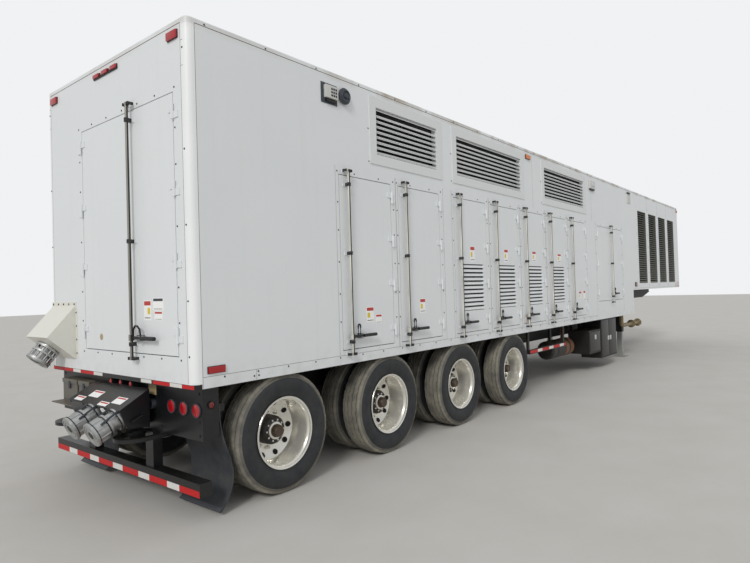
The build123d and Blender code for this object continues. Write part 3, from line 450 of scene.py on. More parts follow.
rod_spots = {name: rod_x(f"lock_rod_{i}") + rear_x for i, name in enumerate(single_doors, 1)}
rod_spots["double_door_front_leaf"] = rod_x("double_door_lock_rod") + rear_x
rear_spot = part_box("rear_door_lock_rod")[1].y - rod_half
guide_behind = 0.04
guide_ahead = 0.16
keeper_reach = 0.06
left_reach = 0.4
guide_zones = {name: [("X", spot - guide_behind, spot + guide_ahead)] for name, spot in rod_spots.items()}
guide_zones["rear_door_right_leaf"] = [("Y", rear_spot - guide_ahead, rear_spot + guide_behind)]
keeper_zones = [("X", spot - keeper_reach, spot + keeper_reach) for spot in rod_spots.values()]
keeper_zones.append(("Y", rear_spot - keeper_reach, rear_spot + keeper_reach))
left_zones = [("X", spot - guide_behind, spot + left_reach) for spot in rod_spots.values()]
door_stains = {"door_5": [(rod_x("lock_rod_5") + 0.01, 1.24, 0.16, 0.1)]}
front_stains = [(16.3, 1.66, 0.5, 0.12)]


# Materials

# Near black for the painted shade on one side of each lock rod.
rod_painted_shade = srgb(34, 34, 34)
handle_black = srgb(26, 27, 29)
# The side rods' steel is painted lighter than the rear rod's: painted sunlight on the same galvanised steel.
side_rod_sunlit_steel = srgb(236, 234, 222)
rear_rod_steel = srgb(164, 162, 152)
radiator_from = 12.2
housing_soiled_from = 0.42
tank_rusty_from = 8.28
hood_white = white_paint("hood_white", tone=srgb(229, 227, 216), dirt=1.2)
blade_white = white_paint("blade_white", tone=srgb(226, 228, 228), core_from=radiator_from + rear_x)
black_panel = dusty_paint("black_panel", srgb(13, 17, 22), dust=0.08, rough=0.3)
housing_black = dusty_paint("housing_black", srgb(14, 18, 24), dust=0.08, rough=0.28,
                            second=("Y", housing_soiled_from, srgb(92, 90, 84), 0.5))
tyre_rubber = rubber("tyre_rubber", srgb(33, 36, 41), dust=0.1)
shoulder_rubber = rubber("shoulder_rubber", srgb(84, 82, 77), dust=0.7)
tread_rubber = rubber("tread_rubber", srgb(104, 102, 94), dust=0.9, dust_colour=srgb(156, 151, 137))
wheel_metal = dusty_paint("wheel_metal", srgb(240, 238, 230), dust=0.14, dust_colour=srgb(160, 146, 122),
                          metallic=0.74, rough=0.2, grain=14)
hub_black = dusty_paint("hub_black", srgb(20, 21, 22), dust=0.3, rough=0.45)
cap_brown = plain("cap_brown", srgb(74, 60, 48), rough=0.35)
cast_metal = bare_metal("cast_metal", srgb(206, 208, 207), rough=0.4)
# Near black for painted shade: the sheets behind the louvres and the radiator bays, and the wheels' hand
# holes.
painted_hollow_shade = plain("painted_hollow_shade", srgb(14, 15, 16), rough=0.8)
black_plastic = plain("black_plastic", srgb(20, 21, 23), rough=0.42)
dark_grey = plain("dark_grey", srgb(62, 68, 76), rough=0.45)
pale_grey = plain("pale_grey", srgb(208, 209, 205), rough=0.5)
red_lens = lens("red_lens", srgb(180, 14, 28))
dark_red_lens = lens("dark_red_lens", srgb(120, 20, 22))
strip_grey = plain("strip_grey", srgb(84, 87, 92), rough=0.5)
amber_lens = lens("amber_lens", srgb(230, 120, 30))
clear_lens = lens("clear_lens", srgb(222, 224, 226))
tape_red = plain("tape_red", srgb(198, 10, 16), rough=0.46, speck=0.14)
tape_white = plain("tape_white", srgb(226, 226, 222), rough=0.3, speck=0.15)
mark_red = plain("mark_red", srgb(196, 62, 56), rough=0.4)
mark_yellow = plain("mark_yellow", srgb(226, 202, 60), rough=0.4)
mark_white = plain("mark_white", srgb(252, 252, 250), rough=0.3, speck=0.0)
mark_tan = plain("mark_tan", srgb(176, 158, 120), rough=0.5)
screw_dark = bare_metal("screw_dark", srgb(96, 96, 94), rough=0.45)
# Grey for thin strips of painted shade along the sheet joints and frame lines.
seam_shade = plain("seam_shade", srgb(122, 119, 112), rough=0.7)
seam_brown = plain("seam_brown", srgb(88, 74, 58), rough=0.8)


def dress(material, *names):
    """Gives CAD pieces their finish."""
    for name in names:
        mesh = nodes[name].data
        mesh.materials.clear()
        mesh.materials.append(material)


side_rods = [f"lock_rod_{i}" for i in range(1, 8)] + ["double_door_lock_rod"]
dress(white_paint("wall_white"), "right_wall_sill", "right_wall_posts", "right_wall_header", "left_wall",
      "rear_wall", "front_wall", "roof", "double_door_rear_leaf", "rear_door_left_leaf")
dress(white_paint("front_white", stains=front_stains), "right_radiator_frame")
# The corner posts are a brighter white than the walls: painted sunlight, with less dirt.
dress(white_paint("post_white_sunlit", tone=srgb(250, 252, 252), dirt=0.4), "corner_posts")
dress(white_paint("fitting_white", keeper_zones), "wall_fittings")
dress(white_paint("left_doors_white", left_zones), "left_doors")
dress(blade_white, "right_louvres", "left_louvres")
dress(hood_white, "cable_hood")
for leaf, zones in guide_zones.items():
    dress(white_paint(f"{leaf}_white", zones, stains=door_stains.get(leaf, ())), leaf)
for name in side_rods:
    finish = rod_finish(f"{name}_steel", "X", rod_x(name) + rear_x, 1, side_rod_sunlit_steel, -0.68, -0.42)
    dress(finish, name)
dress(rod_finish("rear_door_lock_rod_steel", "Y", rear_spot, -1, rear_rod_steel, -0.8, -0.96),
      "rear_door_lock_rod")
dress(wheel_metal, *[f"right_wheel_{i}" for i in range(1, 5)], "left_wheels")
dress(dusty_paint("black_frame", srgb(16, 18, 21), dust=0.16),
      "main_beams", "crossmembers", "floor", "kingpin_plate", "landing_gear", "side_cabinets")
dress(dusty_paint("brown_black", srgb(33, 33, 34), dust=0.75), "axles", "suspension")
dress(dusty_paint("tank_brown", srgb(24, 25, 27), dust=0.3, rough=0.4,
                  second=("X", rear_x + tank_rusty_from, srgb(128, 84, 56), 0.4)), "air_tank")
dress(rubber("flap_rubber", srgb(48, 52, 59), dust=0.2), "mud_flaps")
dress(black_panel, "rear_frame")
dress(housing_black, "coupler_housing")
dress(cast_metal, "cable_couplers")
dress(dusty_paint("pipe_metal", srgb(150, 136, 104), dust=0.4, metallic=0.5, rough=0.42), "gas_inlet")
dress(dusty_paint("leg_steel", srgb(176, 178, 176), dust=0.3, metallic=0.6, rough=0.36), "landing_legs")


# Tyres

tyre_sides = 144
tyre_spread = 0.165
groove_places = (-0.081, -0.027, 0.027, 0.081)
groove_half = 0.005
groove_flare = 0.002
groove_depth = 0.014
crown_fall = 0.9
zigzag = 0.0035
notch_depth = 0.005
notch_band = (0.51, 0.53)
shoulder_from = 0.48
tread_from = 0.503
tyre_wall = [(0.3005, 0.1), (0.312, 0.107), (0.332, 0.115), (0.338, 0.1175), (0.342, 0.1165), (0.37, 0.129),
             (0.41, 0.1395), (0.45, 0.1375), (0.465, 0.1335), (0.482, 0.122), (0.486, 0.1235),
             (0.504, 0.1075), (0.518, 0.1045), (0.526, 0.1)]


def tyre_outline():
    """(radius, across, zigzag) points from the outer bead over the tread to the inner bead."""
    points = [(radius, -across, 0) for radius, across in tyre_wall]
    for place in groove_places:
        crown = tyre_radius - crown_fall * place * place
        floor = crown - groove_depth
        points += [(crown, place - groove_half - groove_flare, 1), (floor, place - groove_half, 1),
                   (floor, place + groove_half, 1), (crown, place + groove_half + groove_flare, 1)]
    return points + [(radius, across, 0) for radius, across in reversed(tyre_wall)]


def tyre_ring(bm, outline, step, across_x, up_z):
    """The outline's points at one step round the tyre."""
    shift = zigzag * (1 if step // 2 % 2 else -1)
    ring = []
    for radius, across, wavy in outline:
        notched = notch_band[0] < radius < notch_band[1] and step % 4 == 0 and not wavy
        spot = radius - (notch_depth if notched else 0)
        ring.append(bm.verts.new((spot * across_x, across + shift * wavy, spot * up_z)))
    return ring


def tyre_mesh():
    """One tyre about the y axis, its tread grooves zigzagging and its shoulders notched."""
    bm = bmesh.new()
    outline = tyre_outline()
    rings = [tyre_ring(bm, outline, step, *spot) for step, spot in enumerate(circle(tyre_sides))]
    for i, first in enumerate(rings):
        second = rings[(i + 1) % tyre_sides]
        for k, point in enumerate(outline):
            m = (k + 1) % len(outline)
            face = bm.faces.new((first[k], first[m], second[m], second[k]))
            lowest = min(point[0], outline[m][0])
            face.material_index = (lowest > shoulder_from) + (lowest > tread_from)
    bmesh.ops.recalc_face_normals(bm, faces=bm.faces)
    return bm


def tyres():
    finishes = [tyre_rubber, shoulder_rubber, tread_rubber]
    for i, middle in enumerate(axle_middles, 1):
        bm = bmesh.new()
        for y in (middle.y - tyre_spread, middle.y + tyre_spread):
            single = tyre_mesh()
            turn = Matrix.Rotation(random.random() * 6, 3, "Y")
            bmesh.ops.rotate(single, verts=single.verts, matrix=turn)
            bmesh.ops.translate(single, verts=single.verts, vec=(middle.x, y, middle.z))
            temporary = close_mesh(single, "temporary")
            bm.from_mesh(temporary)
            bpy.data.meshes.remove(temporary)
        left = bm.copy()
        piece(f"tyre_pair_{i}", bm, finishes, [f"right_tyres_{i}"], f"right_wheels_{i}")
        bmesh.ops.scale(left, verts=left.verts, vec=(1, -1, 1))
        piece(f"left_tyre_pair_{i}", left, finishes, ["left_tyres"])


# Wheels: outlines hold (distance outwards from the face where the two discs meet, radius)

METAL, HUB, CAP, HOLE_SHADE = range(4)
rim_outline = [(0.283, 0.301), (0.287, 0.318), (0.284, 0.32), (0.281, 0.317), (0.277, 0.303), (0.262, 0.29),
               (0.24, 0.283), (0.1, 0.276), (0.06, 0.272), (0.022, 0.2), (0.022, 0.128)]
seat_outline = [(0.283, 0.301), (0.27, 0.2998), (-0.27, 0.2998), (-0.283, 0.301)]
back_outline = [(-0.283, 0.301), (-0.287, 0.318), (-0.281, 0.317), (-0.262, 0.29), (-0.06, 0.272),
                (-0.022, 0.2), (-0.022, 0.16), (-0.2, 0.15), (-0.2, 0.0405), (0.19, 0.0405)]
hub_outline = [(0.022, 0.133), (0.1, 0.13), (0.122, 0.122), (0.132, 0.108), (0.134, 0.08), (0.134, 0.066)]
hub_ring_outline = [(0.13, 0.08), (0.148, 0.078), (0.152, 0.07), (0.152, 0.05)]
cap_outline = [(0.15, 0.06), (0.19, 0.054), (0.202, 0.046), (0.203, 0.03), (0.2015, 0.026), (0.2015, 0)]
nut_outline = [(0, 0.021), (0.004, 0.021), (0.004, 0.0185), (0.024, 0.0175), (0.027, 0.013), (0.027, 0.01),
               (0.042, 0.0095), (0.043, 0)]
hub_bolt_outline = [(0, 0.01), (0.007, 0.009), (0.008, 0)]
stud_count = 10
nut_circle = 0.1676
disc_face = 0.022
hub_bolt_circle = 0.094
hub_bolt_face = 0.1335
hole_circle = 0.236
hole_depth = 0.041
hole_radius = 0.027
hole_rim_outline = [(-0.002, hole_radius + 0.006), (0.0035, hole_radius + 0.004), (0.0035, hole_radius),
                    (0.001, hole_radius - 0.001)]
hole_outline = [(0.0015, hole_radius), (0.0015, 0)]
dish_out = 0.885
dish_in = 0.467


def wheel_mesh(side):
    """A pair of deep dished wheels on one hub, about the y axis; side is -1 on the right."""
    bm = bmesh.new()
    out = Vector((0, side, 0))
    for outline in (rim_outline, seat_outline, back_outline):
        add_turned(bm, outline, (0, 0, 0), out, 64, METAL)
    for outline, index in ((hub_outline, HUB), (hub_ring_outline, METAL), (cap_outline, CAP)):
        add_turned(bm, outline, (0, 0, 0), out, 40, index)
    for (nut_x, nut_z), (hole_x, hole_z) in zip(circle(stud_count, 0.5), circle(stud_count)):
        spoke = Vector((nut_x, 0, nut_z))
        add_turned(bm, nut_outline, spoke * nut_circle + out * disc_face, out, 6, METAL)
        spoke = Vector((hole_x, 0, hole_z))
        foot = spoke * hole_circle + out * hole_depth
        face = out * dish_out - spoke * dish_in
        add_turned(bm, hole_rim_outline, foot, face, 24, METAL)
        # The hand holes are black discs: painted shade in place of open holes.
        add_turned(bm, hole_outline, foot, face, 24, HOLE_SHADE)
        add_turned(bm, hub_bolt_outline, spoke * hub_bolt_circle + out * hub_bolt_face, out, 6, METAL)
    return bm


def wheels():
    materials = [wheel_metal, hub_black, cap_brown, painted_hollow_shade]
    for i, middle in enumerate(axle_middles, 1):
        right = (-1, f"right_wheels_{i}", f"wheel_pair_{i}", f"right_wheel_{i}")
        left = (1, "trailer", f"left_wheel_pair_{i}", "left_wheels")
        for side, body, name, plain_wheel in (right, left):
            bm = wheel_mesh(side)
            bmesh.ops.translate(bm, verts=bm.verts, vec=(middle.x, -side * middle.y, middle.z))
            piece(name, bm, materials, [plain_wheel], body)


# Black sheets behind the louvres, as painted shade inside the openings

shade_sheet_back = -0.072
shade_sheet_thick = 0.004
shade_sheet_gap = 0.002
wall_louvres = [(2.25, 1.26), (3.89, 1.98), (6.68, 1.94)]
louvre_bottom = 3.19
louvre_top = 3.78
radiator_places = [12.24 + 0.985 * i for i in range(4)]
radiator_width = 0.73
radiator_bottom = 1.75
radiator_top = 3.51
door_louvre_inset = 0.2
door_louvre_width = 0.53
door_louvre_bottom = 1.465
door_louvre_top = 2.081
door_shade_sheet_back = -0.0178
door_shade_sheet_thick = 0.001


def wall_shade_sheets():
    """Black sheets of painted shade behind the wall louvres and behind the radiator bays."""
    openings = [(x, width, louvre_bottom, louvre_top) for x, width in wall_louvres]
    openings += [(x, radiator_width, radiator_bottom, radiator_top) for x in radiator_places]
    for side, name in both_sides:
        bm = bmesh.new()
        for x, width, low, high in openings:
            side_plate(bm, x + shade_sheet_gap, x + width - shade_sheet_gap, low + shade_sheet_gap, high - shade_sheet_gap,
                       shade_sheet_thick, base=shade_sheet_back, side=side)
        piece(f"{name}_shade_sheets", bm, [painted_hollow_shade])


def door_shade_sheet(bm, name, side):
    """The black sheet of painted shade behind the pressed louvres of one door."""
    start = start_x(name) + door_louvre_inset
    side_plate(bm, start, start + door_louvre_width, door_louvre_bottom, door_louvre_top, door_shade_sheet_thick,
               base=door_shade_sheet_back, side=side)


def door_shade_sheets():
    for name in louvred_doors:
        bm = bmesh.new()
        door_shade_sheet(bm, name, -1)
        piece(f"{name}_shade_sheet", bm, [painted_hollow_shade], body=name)
    bm = bmesh.new()
    for name in louvred_doors:
        door_shade_sheet(bm, name, 1)
    piece("left_door_shade_sheets", bm, [painted_hollow_shade])


# Screws, and grey strips of painted shade along the seams and frame lines on the walls

door_edge_gap = 0.008
door_edges = [start_x(name) - door_edge_gap for name in single_doors]
double_edge = start_x("double_door_rear_leaf") - door_edge_gap
door_wide = 0.84
double_wide = 1.61
frame_behind = 0.02
frame_ahead = 0.044
column_heights = (1.468, 1.745, 2.062, 2.379, 2.658, 2.968)
row_top = 2.968
row_bottom = 1.118
sill_joints = (0.6, 5.0)
joint_screw_away = 0.024
corner_line = 0.0775
roof_line = body_top - 0.05
roof_screws = body_top - 0.033
sill_line = 1.134
sill_bottom = 1.05
frame_line_top = 3.02
front_line = 1.632
louvre_frame = 0.087
screw_radius = 0.0052
seam_proud = 0.0008
SEAM_SHADE, BROWN = range(2)


def add_screw(bm, spot, out, radius=screw_radius):
    """A hexagon head on its washer."""
    washer = radius * 1.7
    outline = [(0, washer), (0.0012, washer), (0.0014, radius), (0.005, radius * 0.95), (0.0055, 0)]
    add_turned(bm, outline, spot, out, sides=6)


def steps(first, last, pitch):
    """Places from first to last, about a pitch apart."""
    count = max(1, round((last - first) / pitch))
    return [first + (last - first) * i / count for i in range(count + 1)]


def door_screw_places():
    """(x, z) of the screws round the doors of one side."""
    places = []
    for edge in door_edges:
        columns = (edge - frame_behind, edge + door_wide + frame_ahead)
        places += [(x, z) for x in columns for z in column_heights]
        places += [(edge + share, row_top) for share in (0.24, 0.63)]
    columns = (double_edge - 0.03, double_edge + double_wide + frame_ahead)
    places += [(x, z) for x in columns for z in column_heights]
    return places + [(double_edge + share, row_top) for share in (0.27, 0.8, 1.33)]


def side_screw_places():
    """(x, z) of each screw on the skin of one side."""
    places = [(x, roof_screws) for x in steps(0.17, body_length - 0.2, 0.62)]
    places += [(x, row_bottom) for x in steps(0.28, 9.1, 0.34)]
    for x in sill_joints:
        places += [(x + away, row_bottom - 0.035) for away in (-joint_screw_away, joint_screw_away)]
    places += door_screw_places()
    for x, width in wall_louvres:
        places += [(spot, louvre_bottom - 0.05) for spot in steps(x - louvre_frame, x + width + 0.045, 0.34)]
        places += [(spot, louvre_bottom + 0.3) for spot in (x - louvre_frame, x + width + 0.05)]
    for x in radiator_places:
        places += [(x - 0.09, z) for z in steps(radiator_bottom - 0.05, radiator_top + 0.08, 0.31)]
    return places


def side_seams():
    """(x0, x1, z0, z1) of the sheet joints and frame lines on one side, as thin grey strips of painted
    shade.
    """
    low = sill_line + 0.003
    lines = [(0.08, 9.2, sill_line, low), (corner_line, corner_line + 0.003, sill_bottom, roof_line),
             (11.7, body_length - 0.08, front_line, front_line + 0.003)]
    lines += [(x - 0.001, x + 0.001, sill_bottom, sill_line) for x in sill_joints]
    for edge in door_edges:
        lines += [(x, x + 0.002, low, frame_line_top) for x in (edge - 0.047, edge + door_wide + 0.09)]
    double_lines = (double_edge - 0.06, double_edge + double_wide + 0.09)
    lines += [(x, x + 0.002, 1.15, frame_line_top) for x in double_lines]
    lines += [(x - 0.128, x - 0.126, front_line + 0.003, roof_line) for x in radiator_places[1:]]
    return lines + [(x, x + 0.002, frame_line_top, roof_line) for x in (6.26, 9.0)]


rear_column_heights = (3.1, 2.81, 2.32, 1.84, 1.56)
corner_heights = (3.7, 2.91, 2.32, 1.73, 1.3)
rear_screw_places = [(y, 3.42) for y in (0.578, 0.303, 0.014, -0.276, -0.543, -0.826, -1.12)]
rear_screw_places += [(y, 1.267) for y in (0.556, 0.272, -0.003, -0.563, -0.845, -1.13)]
rear_screw_places += [(y, z) for y in (-1.12, 0.567) for z in rear_column_heights]
rear_screw_places += [(side * 1.243, z) for side in (-1, 1) for z in corner_heights]


def wall_fastenings():
    for side, name in both_sides:
        bm = bmesh.new()
        for x, z in side_screw_places():
            add_screw(bm, at(x, side * half_width, z), (0, side, 0))
        piece(f"{name}_screws", bm, [screw_dark])
        bm = bmesh.new()
        side_plate(bm, 0.08, body_length - 0.08, roof_line, roof_line + 0.005, seam_proud, BROWN, side=side)
        for x0, x1, z0, z1 in side_seams():
            side_plate(bm, x0, x1, z0, z1, seam_proud, SEAM_SHADE, side=side)
        piece(f"{name}_seams", bm, [seam_shade, seam_brown])
    bm = bmesh.new()
    for y, z in rear_screw_places:
        add_screw(bm, at(0, y, z), (-1, 0, 0))
    piece("rear_screws", bm, [screw_dark])
    bm = bmesh.new()
    for side in (-1, 1):
        rear_plate(bm, side * 1.2185, side * 1.2215, 1.09, roof_line, seam_proud)
        for z in (3.56, 3.76):
            rear_plate(bm, side * 1.2215, side * 1.25, z, z + 0.003, seam_proud)
    rear_plate(bm, -1.22, 1.22, roof_line, roof_line + 0.005, seam_proud, BROWN)
    piece("rear_seams", bm, [seam_shade, seam_brown])


# Lamps, horn and lights, in place of the plain solids

BLACK, RED, DARK_RED, AMBER, CLEAR, WHITE, GREY = range(7)
panel_rear = 0.09
sill_lamp_rear = 0.03
lens_rim = 0.004
lens_base = 0.004
# Each is (x0, x1, z0, z1, how proud, lens).
side_lamps = [(6.02, 6.19, 3.78, 3.85, 0.022, AMBER), (11.85, 12.0, 1.675, 1.78, 0.018, DARK_RED),
              (0.12, 0.287, 1.155, 1.215, 0.014, RED),
              (body_length - 0.16, body_length - 0.07, 3.8, 3.87, 0.022, AMBER)]
# The floodlight, the wall light and the front light; each plate is
# (x0, x1, z0, z1, thickness, finish, bevel, base).
side_lights = [
    (1.465, 1.69, 3.61, 3.81, 0.006, GREY, 0.002, 0),
    (1.5, 1.672, 3.66, 3.785, 0.034, WHITE, 0.006, 0.006),
    # The black strip under the floodlight's box is painted shadow.
    (1.52, 1.66, 3.625, 3.652, 0.02, BLACK, 0.003, 0.006),
    (8.9, 9.17, 3.65, 3.81, 0.036, WHITE, 0.008, 0),
    (8.92, 9.15, 3.62, 3.65, 0.03, BLACK, 0.002, 0),
    (8.95, 9.12, 3.7, 3.78, 0.006, CLEAR, 0.003, 0.036),
    (11.43, 11.65, 3.61, 3.82, 0.014, WHITE, 0.003, 0),
    (11.43, 11.6, 3.82, 3.86, 0.03, BLACK, 0.004, 0)]
horn_place = (1.78, 3.73)
horn_outline = [(0, 0.06), (0.018, 0.062), (0.02, 0.082), (0.03, 0.082), (0.034, 0.077), (0.036, 0.07),
                (0.048, 0.066), (0.052, 0.058), (0.05, 0.05), (0.04, 0.044), (0.04, 0.03), (0.056, 0.024),
                (0.06, 0.014), (0.06, 0)]


def rear_lamp(bm, y, length, low, high):
    """A box marker high on the rear wall."""
    near, far = y - length / 2, y + length / 2
    rear_plate(bm, near, far, low, high, 0.008, BLACK, 0.002)
    rear_plate(bm, near + 0.003, far - 0.003, low + 0.003, high - 0.003, 0.018, RED, 0.005, lens_base)


def round_lamp(bm, spot, out, radius, rim_index, lens_index):
    """A round lamp: a rim with a groove and a domed lens."""
    rim = [(0, 1), (0.012, 1), (0.014, 0.97), (0.014, 0.92), (0.008, 0.9), (0.006, 0.86)]
    dome = [(0.004, 0.89), (0.01, 0.86), (0.014, 0.6), (0.016, 0.3), (0.0165, 0)]
    for outline, index in ((rim, rim_index), (dome, lens_index)):
        add_turned(bm, [(along, radius * share) for along, share in outline], spot, out, 32, index)


def side_light_set(bm, side):
    """The lamps, the horn and the lights of one side."""
    for x0, x1, z0, z1, proud, lens_index in side_lamps:
        side_plate(bm, x0, x1, z0, z1, proud * 0.4, BLACK, 0.002, side=side)
        side_plate(bm, x0 + lens_rim, x1 - lens_rim, z0 + lens_rim, z1 - lens_rim, proud * 0.6, lens_index,
                   0.004, proud * 0.4, side)
    for light in side_lights:
        side_plate(bm, *light, side)
    for x in (1.572, 1.602, 1.632):
        for z in (3.678, 3.71, 3.742):
            side_plate(bm, x, x + 0.02, z, z + 0.02, 0.002, BLACK, 0.0, 0.04, side)
    add_turned(bm, horn_outline, at(horn_place[0], side * half_width, horn_place[1]), (0, side, 0), 36, GREY)
    round_lamp(bm, at(0.168, side * 1.2625, 0.907), (0, side, 0), 0.03, BLACK, DARK_RED)


def lamps():
    bm = bmesh.new()
    for side in (-1, 1):
        side_light_set(bm, side)
        rear_lamp(bm, side * 1.118, 0.146, 3.792, 3.86)
    rear_plate(bm, -0.224, 0.224, 3.81, 3.836, 0.012, BLACK, 0.003)
    for y in (-0.164, 0, 0.164):
        rear_lamp(bm, y, 0.116, 3.816, 3.856)
    for y in (-0.83, -1.008, -1.186):
        round_lamp(bm, at(panel_rear, y, 0.866), (-1, 0, 0), 0.058, GREY, RED)
    for y in (-0.28, -0.1, 0.08):
        add_box(bm, at(sill_lamp_rear, y - 0.03, 0.985), at(panel_rear, y + 0.03, 1.044), BLACK)
        round_lamp(bm, at(sill_lamp_rear, y, 1.012), (-1, 0, 0), 0.027, BLACK, RED)
    materials = [black_plastic, red_lens, dark_red_lens, amber_lens, clear_lens, pale_grey, dark_grey]
    piece("lamp_set", bm, materials, ["lamps"])


# Reflective tape: pieces are (start, end, 0 for red or 1 for white)

tape_thick = 0.0008
rail_face = 0.004
bumper_face = 0.03
side_rail_proud = 1.2505 - half_width
rail_tape = [(1.29, 0.823, 0), (0.823, 0.66, 1), (0.66, 0.38, 0), (0.38, 0.205, 1), (-0.495, -0.665, 1),
             (-0.69, -0.949, 0), (-0.949, -1.122, 1), (-1.122, -1.29, 0)]
tape_red_length = 0.28
tape_white_length = 0.18


def tape_run(first, last):
    """(start, end, colour) of tape that begins with red, between two places."""
    run = []
    spot = first
    index = 0
    while spot < last - 0.01:
        end = min(last, spot + (tape_white_length if index else tape_red_length))
        run.append((spot, end, index))
        spot = end
        index = 1 - index
    return run


def tapes():
    bm = bmesh.new()
    for y0, y1, index in rail_tape:
        rear_plate(bm, y0, y1, 1.05, 1.08, tape_thick, index, base=-rail_face)
    for y0, y1, index in tape_run(-1.286, 1.286):
        rear_plate(bm, y0, y1, 0.217, 0.268, tape_thick, index, base=-bumper_face)
    for x0, x1, index in tape_run(6.08, 7.55):
        for side in (-1, 1):
            side_plate(bm, x0, x1, 0.692, 0.738, tape_thick, index, base=side_rail_proud, side=side)
    piece("reflective_tape", bm, [tape_red, tape_white])


# Plain labels: a white plate, a coloured band and a patch, with no lettering

LABEL_WHITE, LABEL_RED, LABEL_YELLOW, LABEL_GREY, LABEL_TAN = range(5)
label_finishes = [mark_white, mark_red, mark_yellow, dark_grey, mark_tan]
label_thick = 0.0008
# Each is (near edge, far edge, bottom, top), and then False without the yellow patch and the band's colour.
side_labels = {
    "door_1": [(2.05, 2.17, 1.44, 1.6), (2.2, 2.3, 1.42, 1.515, False)],
    "door_2": [(3.02, 3.13, 1.49, 1.66)],
    "door_3": [(4.215, 4.335, 2.115, 2.325)],
    "door_4": [(5.195, 5.315, 2.13, 2.32)],
    "door_5": [(6.165, 6.3, 2.15, 2.322)],
    "door_6": [(7.2, 7.35, 2.16, 2.31)],
    "door_7": [(8.17, 8.28, 1.47, 1.64), (8.4, 8.5, 1.46, 1.65, False)]}
rear_labels = [(-0.695, -0.582, 1.577, 1.745), (-0.887, -0.726, 1.659, 1.762, False, LABEL_GREY),
               (-0.87, -0.749, 1.579, 1.651, False)]


def add_label(lay, bm, near, far, low, high, patch=True, band=LABEL_RED):
    """One label, laid by side_plate or rear_plate; its marks are shares of its width and height."""
    wide, tall = far - near, high - low

    def mark(left, right, bottom, top, index, base=label_thick):
        lay(bm, near + wide * left, near + wide * right, low + tall * bottom, low + tall * top, label_thick,
            index, 0.0, base)
    mark(0, 1, 0, 1, LABEL_WHITE, 0.0)
    mark(0.05, 0.95, 0.74, 0.95, band)
    if patch:
        mark(0.12, 0.48, 0.3, 0.62, LABEL_YELLOW)
    mark(0.1, 0.9, 0.1, 0.14, LABEL_GREY)


def labels():
    for name, rows in side_labels.items():
        bm = bmesh.new()
        for row in rows:
            add_label(side_plate, bm, *row)
        piece(f"{name}_labels", bm, label_finishes, body=name)
    bm = bmesh.new()
    for row in rear_labels:
        add_label(rear_plate, bm, *row)
    piece("rear_labels", bm, label_finishes, body="rear_door_right_leaf")
    bm = bmesh.new()
    add_turned(bm, [(0, 0.03), (0.001, 0.03), (0.001, 0)], at(0, 0.197, 1.414), (-1, 0, 0), 20, LABEL_TAN)
    piece("rear_oval", bm, label_finishes, body="rear_door_left_leaf")


# Eyes that stand on the lock handles, and the hasp over the rear handle

rod_away = 0.05
side_handle = 1.315
double_handle = 1.55
rear_handle = 1.43
eye_ahead = 0.1
eye_bar = 0.0085
eye_loop = [(-0.016, 0.008), (-0.018, 0.1), (-0.009, 0.118), (0.009, 0.118), (0.018, 0.1), (0.016, 0.008)]
hasp_arch = [(-0.03, 0.012), (-0.035, 0.07), (-0.06, 0.1), (-0.1, 0.1), (-0.135, 0.075), (-0.15, 0.03),
             (-0.15, 0.012)]


def eyes():
    y = -half_width - rod_away
    for name in side_rods:
        z = double_handle if name.startswith("double") else side_handle
        x = rod_x(name) + eye_ahead
        bm = bmesh.new()
        add_tube(bm, [at(x + across, y, z + up) for across, up in eye_loop], eye_bar, 8)
        piece(f"{name}_eye", bm, [black_plastic], body=name)
    bm = bmesh.new()
    arch = [at(-rod_away, rear_spot + across, rear_handle + up) for across, up in hasp_arch]
    add_tube(bm, arch, eye_bar, 8)
    piece("rear_hasp", bm, [black_plastic], body="rear_door_lock_rod")


# Cable couplers, their housing and the light panel

coupler_front = (-0.2065, 0.779)
coupler_out = (-0.9122, 0.0, -0.4099)
housing_top = ((0.02, 1.0), (-0.242, 0.858))
housing_face = ((-0.242, 0.858), (-0.171, 0.7))


def slanted_plate(bm, ends, y0, y1, start, stop, thickness, index=0):
    """A thin plate on a sloping face; start and stop are shares of the way between two (x, z) ends."""
    first, last = (Vector((x, 0, z)) for x, z in ends)
    along = last - first
    away = Vector((along.z, 0, -along.x)).normalized() * thickness
    if away.x > 0:
        away = -away
    corners = [(first + along * share, y) for share, y in ((start, y0), (stop, y0), (stop, y1), (start, y1))]
    rings = [[bm.verts.new(at(corner.x, y, corner.z) + lift) for corner, y in corners]
             for lift in (Vector((0, 0, 0)), away)]
    join_rings(bm, rings, index)
    for ring in rings:
        bm.faces.new(ring).material_index = index


def hoop(start, stop, inner, outer):
    """The outline of a square-edged ring."""
    return [(start, inner), (start, outer), (stop, outer), (stop, inner)]


def add_bolt(bm, spot, out, radius, index=0):
    add_turned(bm, [(0, radius), (0.008, radius), (0.009, 0)], spot, out, 6, index)


collar_shares = (0.075, 0.47, 0.9)
collar_wide = 0.007
collar_deep = 0.012
face_rings = ((0.93, 0.84), (0.72, 0.62), (0.42, 0.34))
CAST, PLASTIC, STEEL = range(3)


